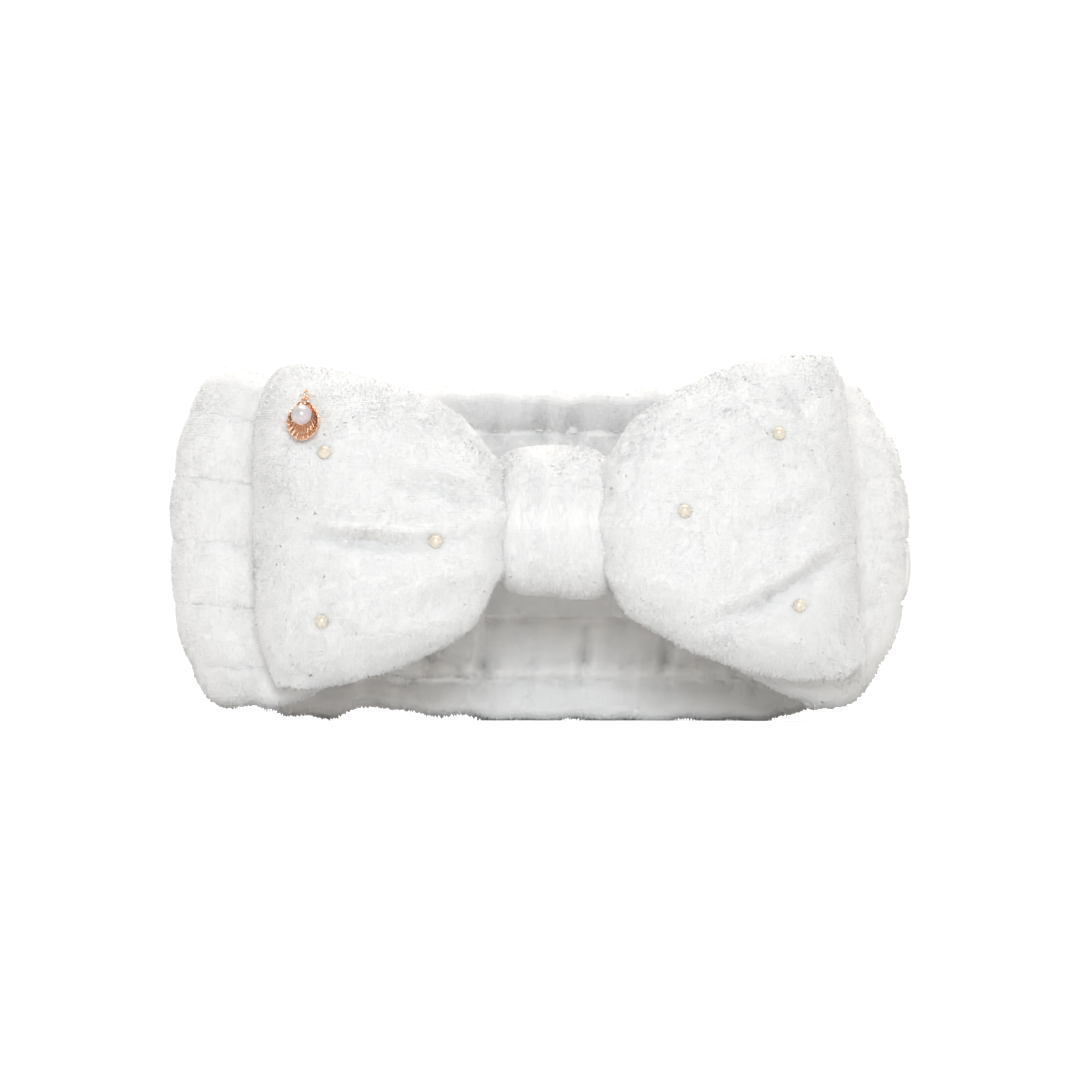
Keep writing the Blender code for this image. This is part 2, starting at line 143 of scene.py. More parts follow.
def settle(piece):
    """Leave the piece's place in its mesh and its object at the origin."""
    pick(piece)
    bpy.ops.object.transform_apply(location=True, rotation=True, scale=True)
    return piece


def started(name, add, **sizes):
    """A new piece from a primitive, with its place settled in its mesh."""
    clear_choice()
    add(**sizes)
    return settle(named(bpy.context.object, name))


def finish_modifier(piece, modifier):
    pick(piece)
    bpy.ops.object.modifier_apply(modifier=modifier.name)


def thicken(piece, thickness, offset=0.0):
    shell = piece.modifiers.new("thickness", "SOLIDIFY")
    shell.thickness = thickness
    shell.offset = offset
    finish_modifier(piece, shell)


def soften_edges(piece, width, angle):
    """Round the edges that are sharper than the angle, in degrees."""
    soft = piece.modifiers.new("edges", "BEVEL")
    soft.width = width
    soft.segments = 2
    soft.limit_method = "ANGLE"
    soft.angle_limit = math.radians(angle)
    finish_modifier(piece, soft)


def ramp(value, start, end):
    """Smooth step from 0 at start to 1 at end."""
    share = np.clip((value - start) / (end - start), 0.0, 1.0)
    return share * share * (3.0 - 2.0 * share)


def bell(value, width):
    return np.exp(-((value / width) ** 2))


def rounded(wave, power):
    """A sine or cosine squared off towards a box, with its sign kept."""
    return np.sign(wave) * np.abs(wave) ** power


def eased(points, value):
    """A smooth line through a few points."""
    xs, ys = np.array(points, float).T
    slopes = np.gradient(ys, xs)
    place = np.clip(np.searchsorted(xs, value) - 1, 0, len(xs) - 2)
    width = xs[place + 1] - xs[place]
    t = np.clip((value - xs[place]) / width, 0.0, 1.0)
    first, last = ys[place], ys[place + 1]
    rise_a, rise_b = slopes[place] * width, slopes[place + 1] * width
    return ((2 * t**3 - 3 * t**2 + 1) * first + (t**3 - 2 * t**2 + t) * rise_a
            + (3 * t**2 - 2 * t**3) * last + (t**3 - t**2) * rise_b)


def drift(spots, scale, seed, octaves=2):
    """Smooth random field, about -1 to 1, with lumps of the given size."""
    offset = Vector((seed * 7.13, seed * 3.71, seed * 5.39))
    values = [noise.fractal(Vector(spot) / scale + offset, 1.0, 2.0, octaves) for spot in spots]
    return np.array(values)


def cloth_grid(name, columns, rows):
    """A grid, with each corner's two shares from 0 to 1 along it."""
    clear_choice()
    bpy.ops.mesh.primitive_grid_add(x_subdivisions=columns, y_subdivisions=rows, size=1.0)
    piece = named(bpy.context.object, name)
    spots = corners(piece.data)
    return piece, spots[:, 0] + 0.5, spots[:, 1] + 0.5


def face_outwards():
    """Turn every face of the piece in edit mode outwards, and leave edit mode."""
    bpy.ops.mesh.select_all(action="SELECT")
    bpy.ops.mesh.normals_make_consistent(inside=False)
    bpy.ops.object.mode_set(mode="OBJECT")


def select_rims():
    bpy.ops.mesh.select_mode(type="EDGE")
    bpy.ops.mesh.select_all(action="DESELECT")
    bpy.ops.mesh.select_non_manifold(extend=False, use_wire=False, use_multi_face=False,
                                     use_non_contiguous=False, use_verts=False)


def close_seam(piece, distance=0.01 * MM, fill=True):
    pick(piece)
    bpy.ops.object.mode_set(mode="EDIT")
    bpy.ops.mesh.select_all(action="SELECT")
    bpy.ops.mesh.remove_doubles(threshold=distance)
    if fill:
        select_rims()
        bpy.ops.mesh.fill_holes(sides=0)
    bpy.ops.mesh.select_mode(type="FACE")
    face_outwards()


def choose_corners(piece, chosen):
    """Leave just these corners selected, ready for edit mode."""
    mesh = piece.data
    pick(piece)
    bpy.ops.object.mode_set(mode="EDIT")
    bpy.ops.mesh.select_mode(type="VERT")
    bpy.ops.mesh.select_all(action="DESELECT")
    bpy.ops.object.mode_set(mode="OBJECT")
    mesh.vertices.foreach_set("select", chosen)
    bpy.ops.object.mode_set(mode="EDIT")


def thread_tube(name, points, radius, resolution=2):
    """A thread through the points, as a closed tube."""
    clear_choice()
    bpy.ops.curve.primitive_nurbs_path_add()
    piece = bpy.context.object
    line = piece.data.splines[0]
    if len(points) > len(line.points):
        line.points.add(len(points) - len(line.points))
    for spot, place_at in zip(line.points, points):
        spot.co = (*place_at, 1.0)
    line.order_u = 3
    line.use_endpoint_u = True
    line.resolution_u = resolution
    piece.data.bevel_depth = radius
    piece.data.bevel_resolution = 1
    piece.data.use_fill_caps = True
    bpy.ops.object.convert(target="MESH")
    return settle(named(bpy.context.object, name))


MOST_LEAN = 0.65            # a tuft's sideways reach against its height
SOFTNESS = 0.9              # how far the pile is shaded as one soft skin, not as single tufts
FOOT_SCATTER = 0.14 * MM    # how far the feet of the tufts stray from even rows
CLUMP_SIZE = 3.0 * MM
SWIRL_SIZE = 14.0 * MM


def raise_pile(piece, length, seed, where=None, lean=(0.0, 0.0, -0.45)):
    """Give each chosen face of the skin a soft tuft that leans with its neighbours."""
    mesh = piece.data
    rng = np.random.default_rng(seed)
    before = len(mesh.vertices)
    spots, normals = corners(mesh), facings(mesh)
    shift = rng.normal(0.0, FOOT_SCATTER, spots.shape)
    shift -= normals * np.sum(shift * normals, axis=1, keepdims=True)
    move_corners(mesh, spots + shift)
    chosen = np.ones(len(mesh.polygons), bool) if where is None else where
    room = np.sqrt(face_values(mesh, "area", 1)[chosen])
    room = np.clip(room / np.median(room), 0.25, 1.0)
    pick(piece)
    bpy.ops.object.mode_set(mode="EDIT")
    bpy.ops.mesh.select_mode(type="FACE")
    bpy.ops.mesh.select_all(action="DESELECT")
    bpy.ops.object.mode_set(mode="OBJECT")
    mesh.polygons.foreach_set("select", chosen)
    bpy.ops.object.mode_set(mode="EDIT")
    bpy.ops.mesh.poke(offset=0.0)
    bpy.ops.object.mode_set(mode="OBJECT")
    spots, normals = corners(mesh), facings(mesh)
    tips, out = spots[before:], normals[before:]
    clumps = drift(tips, CLUMP_SIZE, seed)
    height = length * room * (0.8 + 0.22 * clumps + rng.uniform(-0.18, 0.18, len(tips)))
    height = np.clip(height, 0.15 * length, 1.5 * length)[:, None]
    height *= 1.0 + 0.5 * ramp(-out[:, 2:3], 0.1, 0.9)
    swirl = np.stack([drift(tips, SWIRL_SIZE, seed + step, 1) for step in (1, 2, 3)], axis=1)
    comb = np.array(lean) + 0.8 * swirl + rng.normal(0.0, 0.22, tips.shape)
    comb -= out * np.sum(comb * out, axis=1, keepdims=True)
    comb *= np.minimum(1.0, MOST_LEAN / np.linalg.norm(comb, axis=1, keepdims=True))
    spots[before:] = tips + (out + comb) * height
    move_corners(mesh, spots)
    mesh.shade_smooth()
    shading = SOFTNESS * normals + (1 - SOFTNESS) * facings(mesh)
    shading /= np.linalg.norm(shading, axis=1, keepdims=True)
    mesh.normals_split_custom_set_from_vertices([tuple(normal) for normal in shading])
    # pile_tip runs from 0 at the roots to 1 at the tallest tips; the material darkens the pile towards 0
    # as painted shade between the tufts.
    reach = np.zeros(len(spots), np.float32)
    reach[before:] = np.clip(height[:, 0] / (1.4 * length), 0.0, 1.0)
    layer = mesh.attributes.new("pile_tip", "FLOAT", "POINT")
    layer.data.foreach_set("value", reach)


# ---- Materials --------------------------------------------------------------------

def new_material(name, colour, roughness, metallic=0.0):
    material = bpy.data.materials.new(name)
    material.use_nodes = True
    shader = material.node_tree.nodes["Principled BSDF"]
    set_sockets(shader, {"Base Color": (*colour, 1.0), "Roughness": roughness,
                         "Metallic": metallic})
    return material, shader


def dress(piece, material):
    piece.data.materials.clear()
    piece.data.materials.append(material)


def hand_over(piece, material, slot, body, *nodes, fill=None):
    """Dress a finished piece, hide the frame's parts that it stands for, and give it to its body.
    The back's pieces keep their place in the world and join no body."""
    dress(piece, material)
    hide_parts(*nodes)
    if body == BACK:
        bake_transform(piece)
    else:
        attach(piece, body)


def set_sockets(node, values):
    for label, value in values.items():
        node.inputs[label].default_value = value


def new_group(name, inputs, outputs):
    group = bpy.data.node_groups.new(name, "ShaderNodeTree")
    for label, kind, value in inputs:
        socket = group.interface.new_socket(label, in_out="INPUT", socket_type=kind)
        socket.default_value = value
    for label, kind in outputs:
        group.interface.new_socket(label, in_out="OUTPUT", socket_type=kind)
    return group, group.nodes.new("NodeGroupInput"), group.nodes.new("NodeGroupOutput")


def noise_node(tree, coordinates, scale, octaves=2.0, distortion=0.0, stretch=None):
    texture = tree.nodes.new("ShaderNodeTexNoise")
    set_sockets(texture, {"Scale": scale, "Detail": octaves, "Distortion": distortion})
    if stretch is not None:
        mapping = tree.nodes.new("ShaderNodeMapping")
        mapping.inputs["Scale"].default_value = stretch
        tree.links.new(coordinates, mapping.inputs["Vector"])
        coordinates = mapping.outputs["Vector"]
    tree.links.new(coordinates, texture.inputs["Vector"])
    return texture.outputs["Fac"]


def sum_node(tree, *terms):
    """Add up values, each times its own weight."""
    total = None
    for value, weight in terms:
        step = tree.nodes.new("ShaderNodeMath")
        step.operation = "MULTIPLY_ADD"
        tree.links.new(value, step.inputs[0])
        step.inputs[1].default_value = weight
        step.inputs[2].default_value = 0.0
        if total is not None:
            tree.links.new(total, step.inputs[2])
        total = step.outputs[0]
    return total


def raised_node(tree, value, amount):
    """Add the same amount everywhere."""
    step = tree.nodes.new("ShaderNodeMath")
    step.inputs[1].default_value = amount
    tree.links.new(value, step.inputs[0])
    return step.outputs[0]


def object_place(tree):
    return tree.nodes.new("ShaderNodeTexCoord").outputs["Object"]


def blend_node(tree, share, low, high, bounds=(0.0, 1.0)):
    """Colour between two, by a value over the given range."""
    spread = tree.nodes.new("ShaderNodeMapRange")
    spread.inputs["From Min"].default_value, spread.inputs["From Max"].default_value = bounds
    tree.links.new(share, spread.inputs["Value"])
    mix = tree.nodes.new("ShaderNodeMix")
    mix.data_type = "RGBA"
    tree.links.new(spread.outputs["Result"], mix.inputs["Factor"])
    for value, key in ((low, 6), (high, 7)):
        if isinstance(value, tuple):
            mix.inputs[key].default_value = (*value, 1.0)
        else:
            tree.links.new(value, mix.inputs[key])
    return mix.outputs[2]


def make_pile_tone_shade_group():
    """Tone of a pile fabric: painted shade darkens it towards the roots of the tufts and leaves the tips
    paler, with soft random patches and its grain.
    """
    inputs = (("Shaded Root", "NodeSocketColor", (0.8, 0.79, 0.77, 1.0)),
              ("Tip", "NodeSocketColor", (0.93, 0.93, 0.93, 1.0)))
    outputs = (("Color", "NodeSocketColor"), ("Grain", "NodeSocketFloat"),
               ("Roughness", "NodeSocketFloat"))
    group, start, end = new_group("pile_tone_root_shade", inputs, outputs)
    place = object_place(group)
    patches = noise_node(group, place, 42.0, 2.0)
    tufts = noise_node(group, place, 620.0, 3.0, 0.6)
    strands = noise_node(group, place, 1500.0, 2.0, 0.3, (1.0, 1.0, 0.35))
    tip = group.nodes.new("ShaderNodeAttribute")
    tip.attribute_name = "pile_tip"
    height = tip.outputs["Fac"]
    share = sum_node(group, (height, 0.55), (tufts, 0.45), (strands, 0.3), (patches, 0.35))
    colour = blend_node(group, share, start.outputs["Shaded Root"], start.outputs["Tip"], (0.25, 1.15))
    grain = sum_node(group, (tufts, 0.65), (strands, 0.35))
    rough = sum_node(group, (tufts, 0.15), (patches, 0.1))
    group.links.new(colour, end.inputs["Color"])
    group.links.new(grain, end.inputs["Grain"])
    group.links.new(raised_node(group, rough, 0.76), end.inputs["Roughness"])
    return group


def make_fibre_group():
    """Twisted yarn: slanting ply marks along the piece's own length, and loose fibre."""
    inputs = (("Dark", "NodeSocketColor", (0.6, 0.58, 0.5, 1.0)),
              ("Light", "NodeSocketColor", (0.9, 0.88, 0.82, 1.0)))
    outputs = (("Color", "NodeSocketColor"), ("Ply", "NodeSocketFloat"))
    group, start, end = new_group("twisted_yarn", inputs, outputs)
    coordinates = group.nodes.new("ShaderNodeTexCoord")
    wave = group.nodes.new("ShaderNodeTexWave")
    wave.bands_direction = "DIAGONAL"
    set_sockets(wave, {"Scale": 4.0, "Distortion": 1.0})
    group.links.new(coordinates.outputs["UV"], wave.inputs["Vector"])
    fluff = noise_node(group, coordinates.outputs["Object"], 2400.0, 2.0)
    share = sum_node(group, (wave.outputs["Fac"], 0.6), (fluff, 0.6))
    colour = blend_node(group, share, start.outputs["Dark"], start.outputs["Light"], (0.2, 1.0))
    group.links.new(colour, end.inputs["Color"])
    group.links.new(share, end.inputs["Ply"])
    return group


def make_lustre_group():
    """Faint cloudy rings of nacre in a pearl's colour and polish."""
    inputs = (("Deep", "NodeSocketColor", (0.8, 0.76, 0.68, 1.0)),
              ("Bright", "NodeSocketColor", (0.95, 0.92, 0.86, 1.0)))
    outputs = (("Color", "NodeSocketColor"), ("Roughness", "NodeSocketFloat"))
    group, start, end = new_group("pearl_lustre", inputs, outputs)
    place = object_place(group)
    clouds = noise_node(group, place, 520.0, 3.0, 1.2)
    specks = noise_node(group, place, 2600.0, 2.0)
    share = sum_node(group, (clouds, 0.8), (specks, 0.2))
    colour = blend_node(group, share, start.outputs["Deep"], start.outputs["Bright"], (0.25, 0.75))
    rough = sum_node(group, (clouds, 0.16), (specks, 0.08))
    group.links.new(colour, end.inputs["Color"])
    group.links.new(raised_node(group, rough, 0.08), end.inputs["Roughness"])
    return group


PILE_TONE_AND_SHADE = make_pile_tone_shade_group()
TWISTED_YARN = make_fibre_group()
PEARL_LUSTRE = make_lustre_group()


def use_group(material, group, first, second):
    node = material.node_tree.nodes.new("ShaderNodeGroup")
    node.node_tree = group
    node.inputs[0].default_value = (*first, 1.0)
    node.inputs[1].default_value = (*second, 1.0)
    return node


def add_bump(material, shader, height, strength, distance):
    tree = material.node_tree
    bump = tree.nodes.new("ShaderNodeBump")
    set_sockets(bump, {"Strength": strength, "Distance": distance})
    tree.links.new(height, bump.inputs["Height"])
    tree.links.new(bump.outputs["Normal"], shader.inputs["Normal"])


def plush_material(name, root, tip, strength):
    material, shader = new_material(name, tip, 0.9)
    set_sockets(shader, {"Sheen Weight": 0.7, "Sheen Roughness": 0.6, "Subsurface Weight": 0.25,
                         "Subsurface Radius": (1.0, 0.9, 0.8), "Subsurface Scale": 1.5 * MM,
                         "Specular IOR Level": 0.15})
    # root is the pile's colour darkened as painted shade at the roots of the tufts; tip is the fleece's
    # own white.
    pile = use_group(material, PILE_TONE_AND_SHADE, root, tip)
    tree = material.node_tree
    tree.links.new(pile.outputs["Color"], shader.inputs["Base Color"])
    tree.links.new(pile.outputs["Roughness"], shader.inputs["Roughness"])
    add_bump(material, shader, pile.outputs["Grain"], strength, 0.35 * MM)
    return material


def yarn_material(name, dark, light):
    material, shader = new_material(name, light, 0.7)
    set_sockets(shader, {"Sheen Weight": 0.2})
    yarn = use_group(material, TWISTED_YARN, dark, light)
    material.node_tree.links.new(yarn.outputs["Color"], shader.inputs["Base Color"])
    add_bump(material, shader, yarn.outputs["Ply"], 0.5, 0.08 * MM)
    return material


def pearl_material(name, deep, bright):
    material, shader = new_material(name, bright, 0.2)
    set_sockets(shader, {"Coat Weight": 1.0, "Coat Roughness": 0.2, "Coat IOR": 1.9,
                         "Specular IOR Level": 0.8, "Subsurface Weight": 0.2,
                         "Subsurface Radius": (1.0, 0.85, 0.7), "Subsurface Scale": 0.8 * MM})
    pearl = use_group(material, PEARL_LUSTRE, deep, bright)
    material.node_tree.links.new(pearl.outputs["Color"], shader.inputs["Base Color"])
    material.node_tree.links.new(pearl.outputs["Roughness"], shader.inputs["Roughness"])
    return material


def rose_gold_material():
    """Plated metal: redder and duller in some patches, paler where it is rubbed."""
    material, shader = new_material("rose_gold_plating", (0.9, 0.6, 0.44), 0.24, 1.0)
    tree = material.node_tree
    place = object_place(tree)
    brushed = noise_node(tree, place, 1400.0, 3.0, 0.4)
    worn = noise_node(tree, place, 330.0, 2.0)
    share = sum_node(tree, (brushed, 0.5), (worn, 0.5))
    colour = blend_node(tree, share, (0.80, 0.47, 0.31), (0.96, 0.68, 0.50), (0.3, 0.7))
    rough = sum_node(tree, (brushed, 0.14), (worn, 0.2))
    tree.links.new(colour, shader.inputs["Base Color"])
    tree.links.new(raised_node(tree, rough, 0.04), shader.inputs["Roughness"])
    add_bump(material, shader, brushed, 0.1, 0.02 * MM)
    return material


def foam_material():
    """Loose polyester filling: soft cloudy lumps with fine cells."""
    material, shader = new_material("soft_filling", (0.93, 0.91, 0.86), 0.95)
    tree = material.node_tree
    place = object_place(tree)
    lumps = noise_node(tree, place, 160.0, 4.0, 0.8)
    cells = noise_node(tree, place, 1100.0, 2.0)
    share = sum_node(tree, (lumps, 0.7), (cells, 0.3))
    colour = blend_node(tree, share, (0.80, 0.77, 0.70), (0.95, 0.94, 0.90), (0.3, 0.7))
    tree.links.new(colour, shader.inputs["Base Color"])
    add_bump(material, shader, share, 0.6, 0.4 * MM)
    return material


def elastic_material():
    """Knitted elastic: fine upright rubber ribs crossed by a looser weft."""
    material, shader = new_material("knitted_elastic", (0.88, 0.88, 0.86), 0.7)
    tree = material.node_tree
    shares = tree.nodes.new("ShaderNodeTexCoord").outputs["UV"]
    waves = []
    for direction, scale in (("X", 70.0), ("Y", 6.0)):
        wave = tree.nodes.new("ShaderNodeTexWave")
        wave.bands_direction = direction
        set_sockets(wave, {"Scale": scale, "Distortion": 0.6})
        tree.links.new(shares, wave.inputs["Vector"])
        waves.append(wave.outputs["Fac"])
    share = sum_node(tree, (waves[0], 0.5), (waves[1], 0.5))
    colour = blend_node(tree, share, (0.70, 0.69, 0.66), (0.92, 0.92, 0.90))
    tree.links.new(colour, shader.inputs["Base Color"])
    add_bump(material, shader, share, 0.6, 0.2 * MM)
    return material


# First colour: painted shade at the roots of the pile. Second colour: the fleece's own white at the tips.
PLUSH = plush_material("white_plush", (0.89, 0.87, 0.845), (0.96, 0.948, 0.932), 0.3)
STITCHING = yarn_material("cream_stitching", (0.80, 0.78, 0.73), (0.95, 0.94, 0.90))
BEAD_PEARL = pearl_material("cream_pearl", (0.58, 0.50, 0.38), (0.78, 0.71, 0.59))
CHARM_PEARL = pearl_material("white_pearl", (0.42, 0.38, 0.38), (0.62, 0.58, 0.58))
ROSE_GOLD = rose_gold_material()
FILLING = foam_material()
ELASTIC = elastic_material()


# ---- The ring of the band ----------------------------------------------------------

def ring_table(samples=2880):
    angle = np.linspace(0.0, 2 * math.pi, samples + 1)
    power = 2 / RING_SQUARENESS
    cosine, sine = np.cos(angle), np.sin(angle)
    across = RING_HALF_WIDTH * rounded(cosine, power)
    along = RING_HALF_DEPTH * rounded(sine, power)
    share = np.concatenate([[0.0], np.cumsum(np.hypot(np.diff(across), np.diff(along)))])
    return share / share[-1], across, along, share[-1]


RING = ring_table()
RING_LENGTH = RING[3]
END_LIFT = 5.0 * MM         # the sides of the band ride this much higher than its back

# How far the rims draw in at the two sides, and how sharply.
END_TUCK = {(-1, 1): 12.0 * MM, (-1, -1): 13.0 * MM, (1, 1): 19.5 * MM, (1, -1): 17.0 * MM}
TUCK_POWER = {-1: 3.2, 1: 2.6}

# Rise and dip of the two rims, in millimetres, along the band from left to right.
TOP_RIM = ((-107, 1.0), (-97, 1.2), (-90, 0.9), (-82, 0.4), (-60, 1.0), (-45, 0.2), (-32, 0.6), (-26, 1.4),
           (-9, 1.3), (3, 0.3), (9, -0.4), (15, 1.0), (21, 0.8), (45, 0.6), (80, 0.0), (107, 0.0))
LOW_RIM = ((-107, 0.0), (-88, 1.6), (-79, 0.6), (-73, 1.4), (-62, 1.4), (-56, 3.4), (-50, 4.9), (-44, 4.0),
           (-38, 2.8), (-32, 2.1), (-22, 1.6), (-15, 0.5), (9, 0.5), (15, 0.2), (27, 0.0), (44, 0.5),
           (62, 0.3), (80, 0.6), (92, 0.5), (107, 0.0))


def to_side(x):
    """0 along the middle of the band, rising to 1 at its two sides."""
    return ramp(np.abs(x), 60 * MM, RING_HALF_WIDTH)


def ring_point(share, depth, height, rims=1.0):
    """Points of the wall, share of the turn from +X by way of the back."""
    shares, across, along, _length = RING
    step = 0.002
    ahead, behind = (share + step) % 1.0, (share - step) % 1.0
    x, y = np.interp(share, shares, across), np.interp(share, shares, along)
    run = np.interp(ahead, shares, across) - np.interp(behind, shares, across)
    rise = np.interp(ahead, shares, along) - np.interp(behind, shares, along)
    size = np.hypot(run, rise)
    x, y = x - depth * rise / size, y + depth * run / size
    side = to_side(x)
    level = (height - BAND_HEIGHT / 2) / (BAND_HEIGHT / 2)
    tuck, power = np.zeros_like(x), np.where(x < 0, TUCK_POWER[-1], TUCK_POWER[1])
    for (which, way), amount in END_TUCK.items():
        tuck += amount * ((np.sign(x) == which) & ((level > 0) == (way > 0)))
    top = eased(TOP_RIM, x / MM) * MM * np.clip(level, 0, 1) ** 4
    low = eased(LOW_RIM, x / MM) * MM * np.clip(-level, 0, 1) ** 4
    z = height + END_LIFT * side + rims * (top + low)
    x = x * (1.0 - side * tuck / RING_HALF_WIDTH * np.abs(level) ** power)
    return np.stack([x, y + RING_Y, z], axis=1)


def gathers(share, height, seed):
    """How far the gathered cloth stands out between the elastic rows, 0 to about 1."""
    rows = np.array(ROW_HEIGHTS)
    bounds = np.concatenate([[-5 * MM], rows, [BAND_HEIGHT + 5 * MM]])
    channel = np.clip(np.searchsorted(bounds, height) - 1, 0, len(rows))
    low, high = bounds[channel], bounds[channel + 1]
    arch = np.abs(np.sin(math.pi * (height - low) / (high - low))) ** 0.6
    walk = share * RING_LENGTH
    phase = seed * 1.7 + 1.3 * np.sin(channel * 2.1)
    pucker = np.sin(walk / (1.9 * MM) + phase + 1.9 * np.sin(walk / (15 * MM) + phase))
    swell = np.sin(walk / (5.3 * MM) - 2.1 * phase + 0.9 * np.sin(walk / (31 * MM)))
    return arch * (0.72 + 0.20 * swell) + 0.16 * pucker * (1.15 - arch)


def puffed(share, height, seed):
    """How far the gathered cloth stands off the wall, less deeply grooved at the two ends."""
    x = np.interp(share, RING[0], RING[1])
    side = ramp(np.abs(x), 78 * MM, RING_HALF_WIDTH)
    lift = np.where(x < 0, 1.9, 2.4) * MM
    return (3.2 - 1.7 * side) * MM * gathers(share, height, seed) - 1.2 * MM + lift * side


# Upright folds of the back's inner face: place along the band and height in
# millimetres, reach up and down, depth and half width.
INNER_FOLDS = (
    (-92, 15, 10, 1.6, 2.6), (-74, 17, 9, 2.0, 2.4), (-52, 16, 10, 2.2, 2.6), (-34, 20, 9, 2.0, 2.2),
    (-17.5, 16, 10, 2.4, 2.2), (-3, 14, 6, 1.2, 2.0), (13.5, 19, 8, 2.6, 2.0), (26, 14, 6, 1.4, 2.0),
    (38, 19, 9, 2.8, 2.2), (60, 17, 9, 1.8, 2.4), (79, 18, 9, 1.8, 2.4), (-82, 84, 8, 1.8, 2.4),
    (-60, 85, 8, 2.0, 2.4), (-37, 86, 7, 1.6, 2.2), (-14, 85, 5, 1.0, 2.0), (0, 85, 6, 2.2, 2.4),
    (9.5, 87, 8, 2.4, 2.2), (24, 85, 6, 1.2, 2.2), (47, 85, 8, 2.0, 2.4), (70, 84, 8, 1.8, 2.4),
    (-68, 50, 12, 1.2, 2.6), (-25, 47, 14, 1.4, 2.6), (20, 52, 13, 1.4, 2.6), (64, 48, 13, 1.2, 2.6),
)


def folds(x, height, table):
    total = np.zeros_like(x)
    for place, level, reach, depth, width in table:
        beside = x / MM - place - 0.12 * (height / MM - level)
        total += depth * MM * bell(beside, width) * bell(height / MM - level, reach)
        total += 0.5 * depth * MM * bell(np.hypot(beside, height / MM - level), 1.4 * width)
    return total


def panel_profile(rows, hidden_rows, inner):
    """The panel's closed outline in the wall: depth and height."""
    edge = 3.6 * MM
    seam = WALL / 2
    turns = np.linspace(0.0, math.pi / 2, 6)
    face = np.linspace(edge, BAND_HEIGHT - edge, rows)[1:-1]
    low_turn = [(seam - seam * math.sin(a), edge - edge * math.cos(a)) for a in turns]
    high_turn = [(depth, BAND_HEIGHT - height) for depth, height in reversed(low_turn)]
    hidden = np.linspace(BAND_HEIGHT - edge, edge, hidden_rows)
    outline = low_turn + [(0.0, height) for height in face] + high_turn
    visible = len(outline)
    outline += [(FLEECE, height) for height in hidden]
    depth, height = np.array(outline).T
    if inner:
        depth = WALL - depth
    return depth, height, visible


def knot_gather(x):
    """1 beside the knot, 0 where the front wall has its full height."""
    right = x > KNOT_X
    start = np.where(right, 1 * MM, 6 * MM)
    reach = np.where(right, 78 * MM, 75 * MM)
    away = (np.abs(x - KNOT_X) - KNOT_HALF_WIDTH - start) / reach
    return (1.0 - np.clip(away, 0.0, 1.0)) ** 1.5


def front_level(x, level, inset=0.0):
    """Height in the front wall, which the knot gathers to its own height."""
    gather = knot_gather(x)
    low = inset + (KNOT_Z - 14.5 * MM - inset) * gather
    high = BAND_HEIGHT - inset
    high = high - (high - KNOT_Z - 14.5 * MM) * gather
    return low + (high - low) * level / BAND_HEIGHT


def make_wall(name, seed, pile):
    """One fleece panel of the band, from one side seam to the other."""
    body = BACK if name.startswith("back") else FRONT
    inner = name.endswith("inner")
    start, end = BACK_SPAN if body == BACK else FRONT_SPAN
    depth, height, visible = panel_profile(detail(116), 7, inner)
    piece, u, v = cloth_grid(name, detail(310), len(depth))
    index = np.rint(v * len(depth)).astype(int) % len(depth)
    share = start + (end - start) * u
    level = height[index]
    x = np.interp(share, RING[0], RING[1])
    outward = -1.0 if inner else 1.0
    seen = (index < visible).astype(float)
    to_end = np.minimum(u, 1 - u) * abs(end - start) * RING_LENGTH
    seam_dip = 1.0 * MM * (1 - ramp(to_end, 0.0, 4 * MM))
    gathered = puffed(share, level, seed)
    rims = 1.0
    walk = share * RING_LENGTH / MM
    rim = np.abs(2 * level / BAND_HEIGHT - 1) ** 6 * np.sign(level - BAND_HEIGHT / 2)
    ripple = np.sin(walk / 2.6 + seed) + 0.7 * np.sin(walk / 5.7 + 2 * seed)
    if body == BACK:
        puff = gathered
        if inner:
            frill = 0.8 + 0.25 * np.sin(walk / 1.9 + 1.7 * np.sin(walk / 11.0))
            puff = puff - folds(x, level, INNER_FOLDS)
            puff = puff + 3.2 * MM * frill * bell(level - ROW_HEIGHTS[0] - 1.5 * MM, 2.6 * MM)
        else:
            puff = puff - 0.7 * folds(-x + 6 * MM, level, INNER_FOLDS)
        level = level + rim * 0.45 * MM * ripple
    else:
        ends = np.where(x < 0, ramp(-x, 72 * MM, 88 * MM), 0.45 * ramp(x, 84 * MM, 104 * MM))
        rims = ramp(np.abs(x), 64 * MM, 92 * MM)
        fan = level / BAND_HEIGHT
        pleat = np.cos(2 * math.pi * 4.2 * fan + 1.3 + 0.02 * (x - KNOT_X) / MM)
        near = np.exp(-np.abs(x - KNOT_X) / (34 * MM)) * np.sin(math.pi * fan) ** 0.5
        puff = near * (1.1 * MM * pleat - 1.1 * MM) * (1 - ends) + ends * gathered
        level = front_level(x, level + rim * 0.3 * MM * ripple)
    into = depth[index] - outward * seen * (puff - seam_dip)
    move_corners(piece.data, ring_point(share, into, level, rims))
    close_seam(piece)
    mesh = piece.data
    middles = face_values(mesh, "center", 3)
    sizes = face_values(mesh, "loop_total", 1, np.int32)
    areas = face_values(mesh, "area", 1)
    chosen = (sizes == 4) & (areas < 4 * np.median(areas))
    if body == BACK:
        resting = middles[:, 2] - END_LIFT * to_side(middles[:, 0])
        for row in ROW_HEIGHTS:
            chosen &= np.abs(resting - row) > 0.5 * MM
    raise_pile(piece, pile, seed, chosen)
    hand_over(piece, PLUSH, "fleece", body, f"{name}_panel", fill=0.3)


SEAM = 0.2 * MM / RING_LENGTH
BACK_SPAN = SEAM, 0.5 - SEAM
FRONT_SPAN = 0.5 + SEAM, 1.0 - SEAM


def make_band():
    make_wall("back_outer", 11, 1.0 * MM)
    make_wall("back_inner", 12, 1.0 * MM)
    make_wall("front_outer", 13, 0.8 * MM)
    make_wall("front_inner", 14, 1.0 * MM)


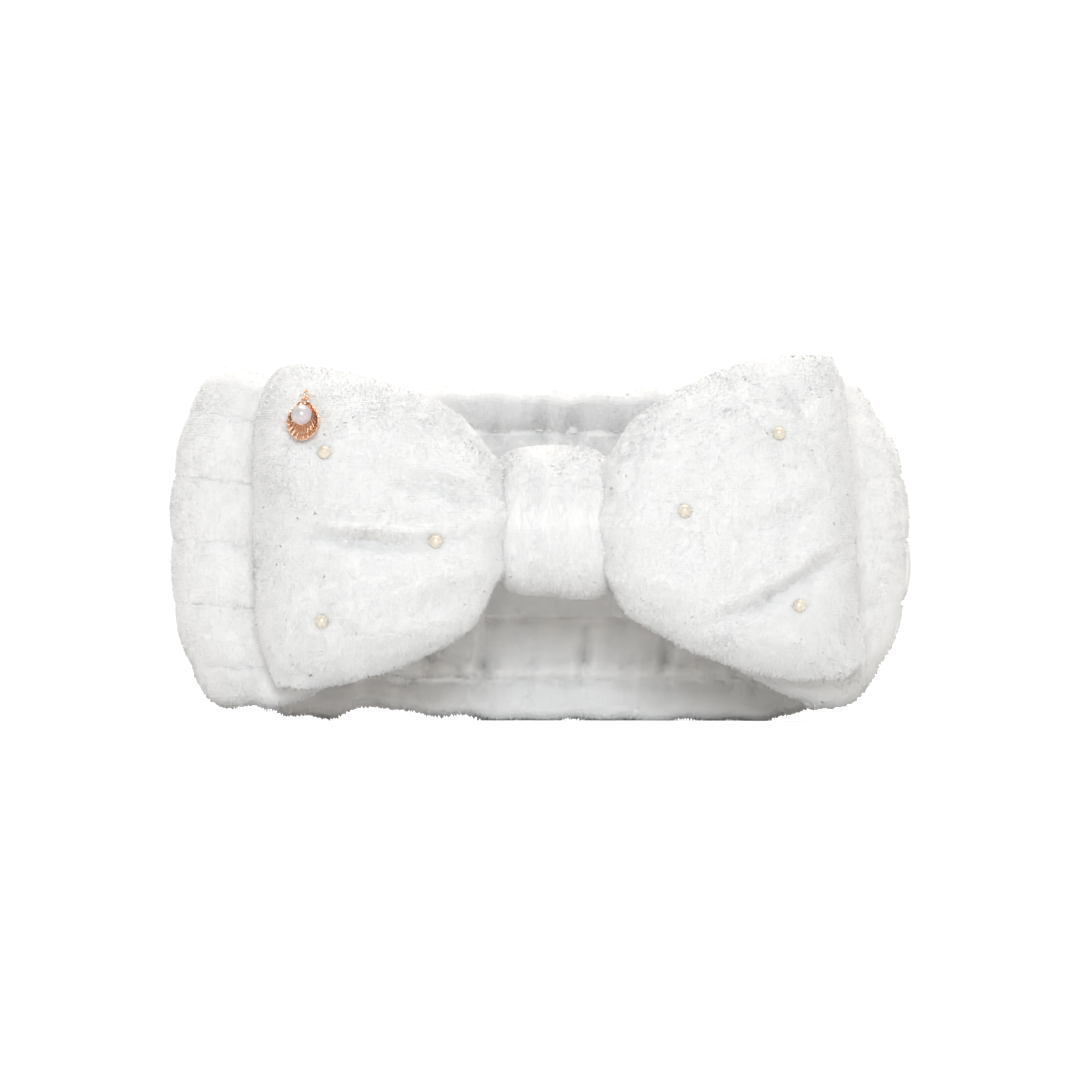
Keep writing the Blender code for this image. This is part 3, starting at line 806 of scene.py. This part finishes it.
def make_lining():
    """The flat filling of the front wall and the elastic bands of the back."""
    piece, u, v = cloth_grid("front_lining", 96, 10)
    share = FRONT_SPAN[0] + (FRONT_SPAN[1] - FRONT_SPAN[0]) * (0.01 + 0.98 * u)
    x = np.interp(share, RING[0], RING[1])
    level = front_level(x, v * BAND_HEIGHT, 5 * MM)
    move_corners(piece.data, ring_point(share, LINING_DEPTH, level, 0.0))
    thicken(piece, 1.1 * MM)
    piece.data.shade_smooth()
    hand_over(piece, FILLING, "foam", FRONT, "front_interlining")
    for strip in range(1, 5):
        piece, u, v = cloth_grid(f"elastic_{strip}", 150, 4)
        share = BACK_SPAN[0] + (BACK_SPAN[1] - BACK_SPAN[0]) * (0.01 + 0.98 * u)
        low, high = ROW_HEIGHTS[strip - 1] + 1.8 * MM, ROW_HEIGHTS[strip] - 1.8 * MM
        curl = 0.25 * MM * np.sin(share * RING_LENGTH / (1.9 * MM)) * (2 * v - 1)
        spots = ring_point(share, LINING_DEPTH + curl, low + (high - low) * v, 0.0)
        move_corners(piece.data, spots)
        thicken(piece, 0.9 * MM)
        piece.data.shade_smooth()
        hand_over(piece, ELASTIC, "elastic", BACK, f"elastic_strip_{strip}")


def stitch_line(name, count, pitch, length, radius, slant=0.0):
    """A straight line of stitches along X from the origin, each arched into the cloth."""
    piece = started(name, bpy.ops.mesh.primitive_uv_sphere_add, segments=6, ring_count=6,
                    radius=1.0, rotation=(0.0, math.pi / 2, 0.0))
    spots = corners(piece.data)
    body = rounded(spots[:, 0], 0.6)
    dip = (body ** 4) * 1.1 * radius
    ready = np.stack([body * length / 2, spots[:, 1] * radius - dip, spots[:, 2] * radius], axis=1)
    if slant:
        turned = np.array(Matrix.Rotation(slant, 3, "Y"))
        other = ready @ turned
        ready = ready @ turned.T
    move_corners(piece.data, ready)
    if slant:
        pick(piece)
        bpy.ops.object.duplicate()
        twin = bpy.context.object
        move_corners(twin.data, other + np.array([pitch, 0.0, 0.0]))
        pick(piece, twin)
        bpy.ops.object.join()
        pitch, count = 2 * pitch, count // 2
    run = piece.modifiers.new("run", "ARRAY")
    run.use_relative_offset = False
    run.use_constant_offset = True
    run.constant_offset_displace = (pitch, 0.0, 0.0)
    run.count = count
    finish_modifier(piece, run)
    piece.data.shade_smooth()
    return piece


def make_stitch_rows():
    pitch = 3.3 * MM
    start, end = BACK_SPAN
    count = int((end - start) * 0.97 * RING_LENGTH / pitch)
    for row, height in enumerate(ROW_HEIGHTS, start=1):
        lines = []
        for inner in (False, True):
            piece = stitch_line(f"row_stitches_{row}", count, pitch, 2.5 * MM, 0.32 * MM)
            spots = corners(piece.data)
            share = start + 0.015 * (end - start) + spots[:, 0] / RING_LENGTH
            wobble = 0.25 * MM * np.sin(spots[:, 0] / (6.1 * MM) + row + 2 * inner)
            above = spots[:, 1] - 0.3 * MM
            depth = -puffed(share, np.full_like(share, height), 12 if inner else 11) - above
            depth = WALL - depth if inner else depth
            move_corners(piece.data, ring_point(share, depth, height + wobble + spots[:, 2]))
            lines.append(piece)
        pick(*lines)
        bpy.ops.object.join()
        piece = named(lines[0], f"row_stitches_{row}")
        hand_over(piece, STITCHING, "thread", BACK, f"stitch_row_{row}")
    for side, share in (("left", 0.5), ("right", 0.0)):
        pitch = 3.4 * MM
        piece = stitch_line(f"seam_stitches_{side}", 24, pitch, 3.9 * MM, 0.34 * MM, 0.55)
        spots = corners(piece.data)
        height = 7 * MM + spots[:, 0] * (BAND_HEIGHT - 14 * MM) / (24 * pitch)
        shares = (share + spots[:, 2] / RING_LENGTH) % 1.0
        depth = WALL - 0.6 * MM + spots[:, 1]
        move_corners(piece.data, ring_point(shares, depth, height))
        hand_over(piece, STITCHING, "thread", FRONT, f"side_seam_{side}")


# ---- The bow -----------------------------------------------------------------------

# Share of the way out along the lobe, and the height of its edge from the knot's middle.
LOBE_EDGES = {
    (-1, 1): ((0.0, 14.5), (0.10, 25.0), (0.27, 34.9), (0.37, 37.0), (0.46, 39.0), (0.58, 41.5),
              (0.83, 45.5), (1.0, 46.5)),
    (-1, -1): ((0.0, 15.5), (0.08, 28.0), (0.23, 37.0), (0.43, 43.5), (0.75, 49.4), (1.0, 53.2)),
    (1, 1): ((0.0, 15.5), (0.08, 27.0), (0.19, 33.0), (0.37, 40.6), (0.63, 47.2), (0.81, 49.6),
             (1.0, 50.6)),
    (1, -1): ((0.0, 15.5), (0.04, 25.5), (0.14, 31.5), (0.44, 43.0), (0.70, 48.3), (1.0, 46.5)),
}
LOBE_LENGTH = 73.5 * MM
BOW_REAR = FRONT_LOW[1] - 0.4 * MM
LOBE_FOLLOW = 0.42          # how far the lobes follow the band's turn to the back
LOBE_PUFF = 12.0 * MM


def bow_rear(x):
    """The band's front face behind the bow, as far as the lobes follow it."""
    share = np.clip(np.abs(x) / RING_HALF_WIDTH, 0.0, 1.0)
    retreat = RING_HALF_DEPTH * (1 - (1 - share ** RING_SQUARENESS) ** (1 / RING_SQUARENESS))
    return BOW_REAR + LOBE_FOLLOW * retreat


def bow_shape(across, around):
    """Skin of the bow: across from -1 to 1, around from 0 at the top edge by way of
    the front to 1 again at the top."""
    angle = 2 * math.pi * around
    up = np.cos(angle)
    front = np.maximum(np.sin(angle), 0.0)
    rear = np.maximum(-np.sin(angle), 0.0)
    neck = 0.17
    side = np.where(across < 0, -1, 1)
    out = np.clip((np.abs(across) - neck) / (1 - neck), 0.0, 1.0)
    height = np.zeros_like(out)
    for (which, way), points in LOBE_EDGES.items():
        chosen = (side == which) & ((up >= 0) == (way > 0))
        height[chosen] = eased(points, out[chosen]) * MM
    corner_top = np.where(side < 0, 7.5 * MM, 6.5 * MM) * np.maximum(up, 0) ** 3
    corner_low = np.where(side < 0, 7.5 * MM, -4.5 * MM) * np.maximum(-up, 0) ** 3
    length = LOBE_LENGTH - corner_top - corner_low
    bare = np.clip(np.abs(across) / neck, 0.0, 1.0) * KNOT_HALF_WIDTH
    x = KNOT_X + side * (bare + out * length)
    z = KNOT_Z + rounded(up, 0.85) * height
    under_knot = ramp(np.abs(across) / neck, 0.78, 1.0)
    along = under_knot * (0.90 + 0.10 * (1 - (1 - out) ** 2.2)) * (1 - out ** 4.5) ** 0.5
    half = 3.1 * MM * (1 - 0.4 * out ** 8)
    middle = bow_rear(x) - half
    y = middle - (half + LOBE_PUFF * along) * front ** 0.48 + half * rear ** 0.5
    return np.stack([x, y, z], axis=1)


def relax(mesh, field, rounds, share=0.5):
    """Even out a field over the skin, each corner by its share towards its neighbours."""
    edges = np.empty(len(mesh.edges) * 2, np.int64)
    mesh.edges.foreach_get("vertices", edges)
    first, second = edges.reshape(-1, 2).T
    count = np.bincount(edges, minlength=len(field))[:, None]
    for _round in range(rounds):
        total = np.zeros_like(field)
        np.add.at(total, first, field[second])
        np.add.at(total, second, field[first])
        field = field + share * (total / count - field)
    return field


def level_faces(piece, rounds):
    """Take the steps of the remesh out of the broad faces, and leave the edges."""
    for _pass in range(3):
        broad = 0.5 * ramp(np.abs(facings(piece.data)[:, 1:2]), 0.35, 0.8)
        move_corners(piece.data, relax(piece.data, corners(piece.data), rounds, broad))


SWELL_FRAMES = 20


def inflate(piece, pressure, cap, pinned):
    """Blow the padded skin up softly with a short cloth simulation."""
    pick(piece)
    rest = corners(piece.data)
    group = piece.vertex_groups.new(name="held")
    hold = np.round(pinned(rest), 1)
    for level in np.unique(hold):
        index = np.flatnonzero(hold == level)
        group.add([int(i) for i in index], float(level), "REPLACE")
    cloth = piece.modifiers.new("swell", "CLOTH")
    settings = cloth.settings
    settings.use_pressure = True
    settings.uniform_pressure_force = pressure
    settings.effector_weights.gravity = 0.0
    settings.vertex_group_mass = "held"
    settings.quality = 5
    cloth.collision_settings.use_collision = False
    scene = bpy.context.scene
    cloth.point_cache.frame_start, cloth.point_cache.frame_end = 1, SWELL_FRAMES
    for step in range(1, SWELL_FRAMES + 1):
        scene.frame_set(step)
    depsgraph = bpy.context.evaluated_depsgraph_get()
    blown = corners(piece.evaluated_get(depsgraph).to_mesh())
    move = blown - rest
    size = np.linalg.norm(move, axis=1, keepdims=True)
    move *= np.minimum(1.0, cap / np.maximum(size, 1e-9))
    move = relax(piece.data, move, 40)
    piece.modifiers.remove(cloth)
    piece.vertex_groups.remove(group)
    scene.frame_set(1)
    move_corners(piece.data, rest + move)


def crease(spots, line, width, depth, ridge=0.0, deepest=0.5):
    """Signed height of a fold along a bent line in the front view: a valley with a
    fuller lip above it, fading at both ends."""
    start, bend, end = (np.array(point) * MM for point in line)
    steps = np.linspace(0.0, 1.0, 60)[:, None]
    bend = 2 * bend - (start + end) / 2
    path = (1 - steps) ** 2 * start + 2 * steps * (1 - steps) * bend + steps ** 2 * end
    flat = spots[:, [0, 2]]
    gaps = np.linalg.norm(flat[:, None, :] - path[None, :, :], axis=2)
    nearest = np.argmin(gaps, axis=1)
    away = gaps[np.arange(len(flat)), nearest]
    above = np.sign(flat[:, 1] - path[nearest, 1])
    share = steps[nearest, 0]
    fade = ramp(share, 0.0, deepest) * ramp(-share, -1.0, -deepest)
    valley = -depth * bell(away, width)
    lip = ridge * bell(away * above - 1.9 * width, 1.3 * width)
    return fade * (valley + lip)


# Bent line of the fold, half width, depth, lip above it, and where it is deepest.
CREASES = (
    (((-54, 74.0), (-34, 70.5), (-12, 64.0)), 3.4 * MM, 3.0 * MM, 0.9 * MM, 0.80),
    (((-74, 58.5), (-44, 53.0), (-10, 56.5)), 2.1 * MM, 3.4 * MM, 2.0 * MM, 0.35),
    (((97, 57.5), (70, 38.5), (43, 27.5)), 2.4 * MM, 3.2 * MM, 1.8 * MM, 0.40),
    (((90, 68.5), (72, 60.5), (54, 55.0)), 3.6 * MM, 1.8 * MM, 0.7 * MM, 0.45),
    (((19, 70.0), (55, 91.5), (93, 99.5)), 3.0 * MM, 1.3 * MM, 0.0, 0.45),
    (((-33, 95.0), (-22, 84.0), (-11, 75.0)), 3.0 * MM, 1.2 * MM, 0.4 * MM, 0.55),
    (((-60, 36.0), (-34, 34.0), (-11, 47.0)), 4.0 * MM, 1.1 * MM, 0.5 * MM, 0.60),
)
DENTS = ((74.0, 95.0, 6.0, 2.4), (-79.0, 66.0, 7.0, 0.8))


def sculpt_bow(piece):
    spots, normals = corners(piece.data), facings(piece.data)
    fronting = ramp(-normals[:, 1], 0.1, 0.55)
    fold = sum(crease(spots, *parts) for parts in CREASES)
    for x, z, reach, depth in DENTS:
        away = np.hypot(spots[:, 0] - x * MM, spots[:, 2] - z * MM)
        fold = fold - depth * MM * bell(away, reach * MM)
    lumps = 0.45 * MM * drift(spots, 24 * MM, 3) + 0.2 * MM * drift(spots, 8 * MM, 5)
    beside = np.abs(spots[:, 0] - KNOT_X) - KNOT_HALF_WIDTH
    pleats = np.cos((spots[:, 2] - KNOT_Z) / (2.7 * MM) + 0.4 * np.sign(spots[:, 0]))
    pleats *= 0.7 * MM * np.exp(-np.clip(beside, 0, 1) / (11 * MM)) * (beside > -3 * MM)
    move = fronting * (fold + pleats) + lumps
    move_corners(piece.data, spots + normals * move[:, None])


def standing_frame(right, inward, up, origin):
    matrix = Matrix((right, inward, up)).transposed().to_4x4()
    matrix.translation = origin
    return matrix


def charm_matrix():
    """The charm's own frame: origin at its pivot, X right, Y into the cloth, Z up."""
    joints = {joint["name"]: joint for joint in frame["joints"]}
    pivot = Vector(joints["charm_swing"]["pos_m"])
    inward = -Vector(joints["charm_swing"]["axis"]).normalized()
    right = -Vector(joints["charm_lift"]["axis"]).normalized()
    return standing_frame(right, inward, right.cross(inward), pivot)


CHARM = charm_matrix()
CHARM_STANDOFF = 2.5 * MM + 0.7 * MM    # shell and pile


def seat_charm(piece):
    """Draw the skin level behind the charm, so that the charm lies on its pile."""
    spots = corners(piece.data)
    axes = np.array(CHARM.to_3x3())
    local = (spots - np.array(CHARM.translation)) @ axes
    spread = np.hypot(local[:, 0], local[:, 2] + 6 * MM)
    facing = facings(piece.data) @ axes[:, 1]
    hold = (1 - ramp(spread, 7 * MM, 24 * MM)) * ramp(-facing, 0.2, 0.6)
    shift = hold * (CHARM_STANDOFF - local[:, 1])
    move_corners(piece.data, spots + shift[:, None] * axes[:, 1])


def make_bow():
    piece, u, v = cloth_grid("bow_cover", 100, 72)
    move_corners(piece.data, bow_shape(2 * u - 1, v))
    close_seam(piece)
    remesh = piece.modifiers.new("even", "REMESH")
    remesh.mode = "VOXEL"
    remesh.voxel_size = 3.2 * MM
    finish_modifier(piece, remesh)
    level_faces(piece, 12)
    inflate(piece, 4.0, 4.5 * MM, lambda spots: (
        1 - ramp(np.abs(spots[:, 0] - KNOT_X), KNOT_HALF_WIDTH, KNOT_HALF_WIDTH + 7 * MM)))
    smooth = piece.modifiers.new("fine", "SUBSURF")
    smooth.levels = smooth.render_levels = detail(2)
    finish_modifier(piece, smooth)
    sculpt_bow(piece)
    seat_charm(piece)
    mesh = piece.data
    move_corners(mesh, relax(mesh, corners(mesh), 5))
    skin = BVHTree.FromPolygons([Vector(spot) for spot in corners(mesh)],
                                [tuple(face.vertices) for face in mesh.polygons])
    raise_pile(piece, 1.0 * MM, 21)
    hand_over(piece, PLUSH, "fleece", FRONT, "bow_front_panel", "bow_back_panel", fill=0.6)
    return skin


def make_pads():
    """The filling of each lobe, a soft slab that thins out to its edges."""
    for side, word in ((-1, "left"), (1, "right")):
        piece, u, v = cloth_grid(f"lobe_filling_{word}", 26, 30)
        across = side * (0.36 + 0.48 * u)
        spots = bow_shape(across, v)
        low, high = spots.min(axis=0), spots.max(axis=0)
        centre = (low + high) / 2
        taper = np.sin(math.pi * np.clip(u, 0.06, 0.94)) ** 0.5
        spots[:, 2] = centre[2] + (spots[:, 2] - centre[2]) * 0.74 * taper
        rear = bow_rear(spots[:, 0]) - 3.8 * MM
        spots[:, 1] = rear - 1.0 * MM + (spots[:, 1] - rear) * 0.42 * taper
        move_corners(piece.data, spots)
        close_seam(piece)
        piece.data.shade_smooth()
        hand_over(piece, FILLING, "foam", FRONT, f"bow_pad_{word}", fill=0.5)


def make_knot():
    piece, u, v = cloth_grid("knot", detail(170), detail(46))
    angle = 2 * math.pi * u
    across = 2 * v - 1
    low, high = np.array(KNOT_LOW), np.array(KNOT_HIGH)
    middle = (low + high) / 2
    half = (high - low) / 2
    power = 2 / 2.7
    cosine, sine = np.cos(angle), np.sin(angle)
    swell = 0.9 * MM * np.cos(math.pi * across / 2) - 0.6 * MM - 3.2 * MM * np.abs(across) ** 5
    wrinkle = 0.45 * MM * np.cos(across * 6.0 + 1.2 * np.sin(angle))
    wrinkle += 0.30 * MM * np.cos(across * 11.0 - 2.0 * np.cos(angle))
    y = middle[1] + rounded(cosine, power) * (half[1] + swell + wrinkle)
    z = KNOT_Z - 0.5 * MM + rounded(sine, power) * (half[2] - 1.0 * MM + swell)
    z -= 2.4 * MM * ramp(across, -0.1, 1.0) * (sine < 0) * np.abs(sine)
    x = KNOT_X + across * KNOT_HALF_WIDTH
    move_corners(piece.data, np.stack([x, y, z], axis=1))
    close_seam(piece, fill=False)
    thicken(piece, 3.0 * MM, -1.0)
    centre = np.array([0.0, middle[1], KNOT_Z])
    faces, normals = face_values(piece.data, "center", 3), face_values(piece.data, "normal", 3)
    outwards = np.sum((faces - centre)[:, 1:] * normals[:, 1:], axis=1) > 0
    raise_pile(piece, 1.0 * MM, 31, outwards)
    hand_over(piece, PLUSH, "fleece", FRONT, "knot_wrap", fill=0.5)
    seam = stitch_line("knot_stitches", 7, 3.3 * MM, 2.6 * MM, 0.34 * MM, 0.5)
    spots = corners(seam.data)
    along = spots[:, 0] - 10.0 * MM
    back = high[1] + 0.25 * MM - 0.9 * MM * (along / (13 * MM)) ** 2 + spots[:, 1]
    move_corners(seam.data, np.stack([KNOT_X + along, back, KNOT_Z + spots[:, 2]], axis=1))
    hand_over(seam, STITCHING, "thread", FRONT, "knot_seam_thread")


# ---- Beads and charm ---------------------------------------------------------------

def drilled_bead(name, radius, bore):
    """A round bead with its bore along X, made round the origin."""
    piece = started(name, bpy.ops.mesh.primitive_uv_sphere_add, segments=28, ring_count=18,
                    radius=radius, rotation=(0.0, math.pi / 2, 0.0))
    spots = corners(piece.data)
    choose_corners(piece, np.hypot(spots[:, 1], spots[:, 2]) < 0.6 * bore)
    bpy.ops.mesh.delete(type="VERT")
    select_rims()
    bpy.ops.mesh.bridge_edge_loops()
    face_outwards()
    piece.data.shade_smooth()
    return piece


MOST_RADIUS = 2.05 * MM
BEAD_BORE = 0.55 * MM


def sewn_loop(name, arch, radius, matrix, resolution=2):
    """A thread that comes up out of the cloth, passes the origin and goes down again."""
    points = [(-x, y, 0.0) for x, y in arch] + [(0.0, 0.0, 0.0)]
    points += [(x, y, 0.0) for x, y in reversed(arch)]
    return carry(thread_tube(name, points, radius, resolution), matrix)


def make_beads(skin):
    for number in range(1, 7):
        low, high = (np.array(corner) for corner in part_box(f"bead_{number}"))
        centre = (low + high) / 2
        radius = min((high[0] - low[0] + high[2] - low[2]) / 4, MOST_RADIUS)
        start = Vector((centre[0], -0.2, centre[2]))
        spot, normal, _face, _away = skin.ray_cast(start, Vector((0, 1, 0)))
        inward = -normal
        up = (Vector((0, 0, 1)) - inward * inward.z).normalized()
        matrix = standing_frame(up.cross(-inward), inward, up, spot + normal * (0.72 * radius))
        bead = carry(drilled_bead(f"pearl_bead_{number}", radius, BEAD_BORE), matrix)
        hand_over(bead, BEAD_PEARL, "pearl", FRONT, f"bead_{number}")
        reach, sink = 1.22 * radius, radius + 0.2 * MM
        arch = ((reach, sink), (reach, 0.5 * radius), (1.12 * radius, 0.06 * radius))
        thread = sewn_loop(f"bead_loop_{number}", arch, 0.15 * MM, matrix)
        hand_over(thread, STITCHING, "thread", FRONT, f"bead_thread_{number}")


SHELL_NECK = 2.4 * MM
SHELL_ROUND = 4.7 * MM
SHELL_REACH = 3.95 * MM
SHELL_SPREAD = math.radians(128)
SHELL_RIBS = 26


def make_shell():
    """The scallop: ribs fan out from its hinge to a scalloped rim that stands forward."""
    piece, u, v = cloth_grid("charm_scallop", 10 * SHELL_RIBS, 26)
    angle = (2 * u - 1) * SHELL_SPREAD
    root = np.sqrt(np.maximum(SHELL_ROUND ** 2 - (SHELL_REACH * np.sin(angle)) ** 2, 0.0))
    rib = 0.5 + 0.5 * np.cos(2 * math.pi * SHELL_RIBS * u)
    rim = SHELL_REACH * np.cos(angle) + root + 0.35 * MM * (rib - 0.5)
    start = 0.5 * MM
    reach = start + (rim - start) * v
    dish = 0.8 * MM * np.sin(math.pi * v * 0.8) - 1.3 * MM * v ** 3
    sides = -1.3 * MM * np.abs(2 * u - 1) ** 2.2 * v
    raised = -0.42 * MM * rib ** 1.3 * v ** 0.8
    rings = 0.05 * MM * np.sin(v * 34.0) * v
    x, z = reach * np.sin(angle), -SHELL_NECK - 1.17 * reach * np.cos(angle)
    move_corners(piece.data, np.stack([x, dish + sides + raised + rings, z], axis=1))
    thicken(piece, 0.6 * MM)
    soften_edges(piece, 0.12 * MM, 60)
    return piece


def make_ear(side):
    """A small wedge beside the loop, wider at its foot."""
    clear_choice()
    bpy.ops.mesh.primitive_cube_add(size=1.0)
    ear = bpy.context.object
    middle = (0.0, 0.0, 0.0)
    choose_corners(ear, corners(ear.data)[:, 2] < 0)
    bpy.ops.transform.resize(value=(1.7, 1.2, 1.0), center_override=middle)
    bpy.ops.mesh.select_all(action="SELECT")
    bpy.ops.mesh.subdivide(number_cuts=2, smoothness=0.6)
    bpy.ops.transform.resize(value=(1.0 * MM, 1.0 * MM, 2.1 * MM), center_override=middle)
    bpy.ops.transform.translate(value=(side * 0.95 * MM, -0.1 * MM, -2.35 * MM))
    bpy.ops.object.mode_set(mode="OBJECT")
    return ear


def make_hinge():
    """The two ears, the loop, the knob and the peg of the shell."""
    ears = make_ear(-1), make_ear(1)
    upright = (math.pi / 2, 0.0, 0.0)
    loop = started("shell_loop", bpy.ops.mesh.primitive_torus_add, major_radius=0.95 * MM,
                   minor_radius=0.3 * MM, major_segments=28, minor_segments=12, rotation=upright)
    knob = started("shell_knob", bpy.ops.mesh.primitive_uv_sphere_add, segments=16, ring_count=10,
                   radius=0.72 * MM, location=(0.0, -0.35 * MM, -1.35 * MM))
    move_corners(knob.data, corners(knob.data) * np.array([1.25, 1.0, 1.0]))
    peg = started("shell_peg", bpy.ops.mesh.primitive_cylinder_add, vertices=14,
                  radius=0.45 * MM, depth=3.2 * MM, location=(0.0, -1.2 * MM, -5.6 * MM),
                  rotation=upright)
    soften_edges(peg, 0.1 * MM, 30)
    return *ears, loop, knob, peg


def make_charm():
    shell = make_shell()
    pick(shell, *make_hinge())
    bpy.ops.object.join()
    shell = carry(named(shell, "charm_scallop"), CHARM)
    pick(shell)
    bpy.ops.object.shade_smooth_by_angle(angle=math.radians(40))
    hand_over(shell, ROSE_GOLD, "rose_gold", "charm", "charm_shell")
    make_charm_pearl()
    make_tack()


def make_charm_pearl():
    """The pearl in the shell, with a short foot behind it."""
    pearl = started("charm_pearl_round", bpy.ops.mesh.primitive_uv_sphere_add, segments=36,
                    ring_count=22, radius=3.05 * MM, rotation=(-math.pi / 2, 0.0, 0.0))
    choose_corners(pearl, corners(pearl.data)[:, 1] > 3.03 * MM)
    bpy.ops.mesh.delete(type="VERT")
    select_rims()
    bpy.ops.mesh.extrude_edges_move(TRANSFORM_OT_translate={"value": (0.0, -1.6 * MM, 0.0)})
    bpy.ops.mesh.edge_face_add()
    face_outwards()
    spots = corners(pearl.data)
    low, high = (np.array(corner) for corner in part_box("charm_pearl"))
    middle = CHARM.inverted() @ Vector((low + high) / 2)
    move_corners(pearl.data, spots + np.array(middle))
    carry(pearl, CHARM)
    pearl.data.shade_smooth()
    hand_over(pearl, CHARM_PEARL, "charm_pearl", "charm", "charm_pearl")


def make_tack():
    """The split ring that holds the charm, and the thread it hangs on."""
    drop = 2.1 * MM
    lift = CHARM @ Matrix.Translation((0.0, 0.0, drop))
    ring = started("split_ring", bpy.ops.mesh.primitive_torus_add, major_radius=1.5 * MM,
                   minor_radius=0.3 * MM, major_segments=40, minor_segments=12,
                   rotation=(0.0, math.pi / 2, 0.0))
    spots = corners(ring.data)
    turn = np.arctan2(spots[:, 1], spots[:, 2])
    choose_corners(ring, np.abs(turn - 0.9) < 0.05)
    bpy.ops.mesh.delete(type="VERT")
    select_rims()
    bpy.ops.mesh.fill_holes(sides=0)
    face_outwards()
    carry(ring, lift @ Matrix.Translation((0.0, 0.0, 1.5 * MM - drop)))
    pick(ring)
    bpy.ops.object.shade_smooth_by_angle(angle=math.radians(50))
    hand_over(ring, ROSE_GOLD, "rose_gold", "jump_ring", "jump_ring")
    arch = ((2.5 * MM, 3.3 * MM), (2.2 * MM, 1.6 * MM), (1.5 * MM, 0.2 * MM))
    thread = sewn_loop("charm_tack", arch, 0.2 * MM, lift, 4)
    hand_over(thread, STITCHING, "thread", FRONT, "tack_thread")


# ---- Floor, light and camera -------------------------------------------------------

FLOOR_FLAT = 4.2        # radius of the flat part
FLOOR_CURVE = 0.8       # radius of the curve round it
FLOOR_GLOW = 0.58       # seen by the camera only, so that it lights nothing


def make_stage():
    """A wide pale floor whose rim curves up all round."""
    floor, turn, reach = cloth_grid("studio_floor", 64, 28)
    run = reach * (FLOOR_FLAT + FLOOR_CURVE * math.pi / 2)
    bend = np.clip((run - FLOOR_FLAT) / FLOOR_CURVE, 0.0, math.pi / 2)
    away = np.where(run < FLOOR_FLAT, run, FLOOR_FLAT + FLOOR_CURVE * np.sin(bend))
    rise = FLOOR_CURVE * (1 - np.cos(bend)) - 0.3 * MM
    angle = 2 * math.pi * turn
    move_corners(floor.data, np.stack([away * np.cos(angle), away * np.sin(angle), rise], axis=1))
    close_seam(floor, fill=False)
    floor.data.shade_smooth()
    material, shader = new_material("studio_white", (0.93, 0.93, 0.93), 0.8)
    shader.inputs["Emission Color"].default_value = (1.0, 1.0, 1.0, 1.0)
    tree = material.node_tree
    glow = tree.nodes.new("ShaderNodeMath")
    glow.operation = "MULTIPLY"
    glow.inputs[1].default_value = FLOOR_GLOW
    tree.links.new(tree.nodes.new("ShaderNodeLightPath").outputs["Is Camera Ray"], glow.inputs[0])
    tree.links.new(glow.outputs[0], shader.inputs["Emission Strength"])
    dress(floor, material)
    world = bpy.data.worlds.new("studio")
    bpy.context.scene.world = world
    world.use_nodes = True
    sky = world.node_tree.nodes["Background"]
    set_sockets(sky, {"Color": (1.0, 0.98, 0.955, 1.0), "Strength": 0.69})
    bpy.context.scene.view_settings.view_transform = "Standard"


LIGHT_AIM = Vector((0.0, 0.0, 0.05))


def make_light(name, place_at, size, power, colour):
    lamp = bpy.data.lights.new(name, "AREA")
    lamp.shape = "RECTANGLE"
    lamp.size, lamp.size_y = size
    lamp.energy = power
    lamp.color = colour
    item = bpy.data.objects.new(name, lamp)
    bpy.context.collection.objects.link(item)
    item.location = place_at
    item.rotation_euler = (LIGHT_AIM - Vector(place_at)).to_track_quat("-Z", "Y").to_euler()


CAMERA_DISTANCE = 3.0
VIEW_WIDTH = 0.3186
VIEW_CENTRE = Vector((0.0, 0.0, 0.0537))
SENSOR = 36.0


def make_camera():
    lens = bpy.data.cameras.new("camera")
    camera = bpy.data.objects.new("camera", lens)
    bpy.context.collection.objects.link(camera)
    camera.location = VIEW_CENTRE + Vector((0.0, -CAMERA_DISTANCE, 0.0))
    camera.rotation_euler = (math.pi / 2, 0.0, 0.0)
    lens.sensor_width = SENSOR
    lens.lens = SENSOR * CAMERA_DISTANCE / VIEW_WIDTH
    lens.clip_end = 50.0
    bpy.context.scene.camera = camera


make_camera()
make_stage()
make_light("front_softbox", (0.0, -2.5, 0.72), (0.75, 0.65), 27.0, (0.86, 0.94, 1.0))
make_light("back_softbox", (-0.7, 2.4, 1.1), (0.9, 0.7), 9.0, (0.95, 0.98, 1.0))
make_light("top_softbox", (0.1, 0.1, 1.3), (1.4, 1.0), 9.5, (1.0, 0.95, 0.90))
make_band()
make_lining()
make_stitch_rows()
skin = make_bow()
make_pads()
make_knot()
make_beads(skin)
make_charm()
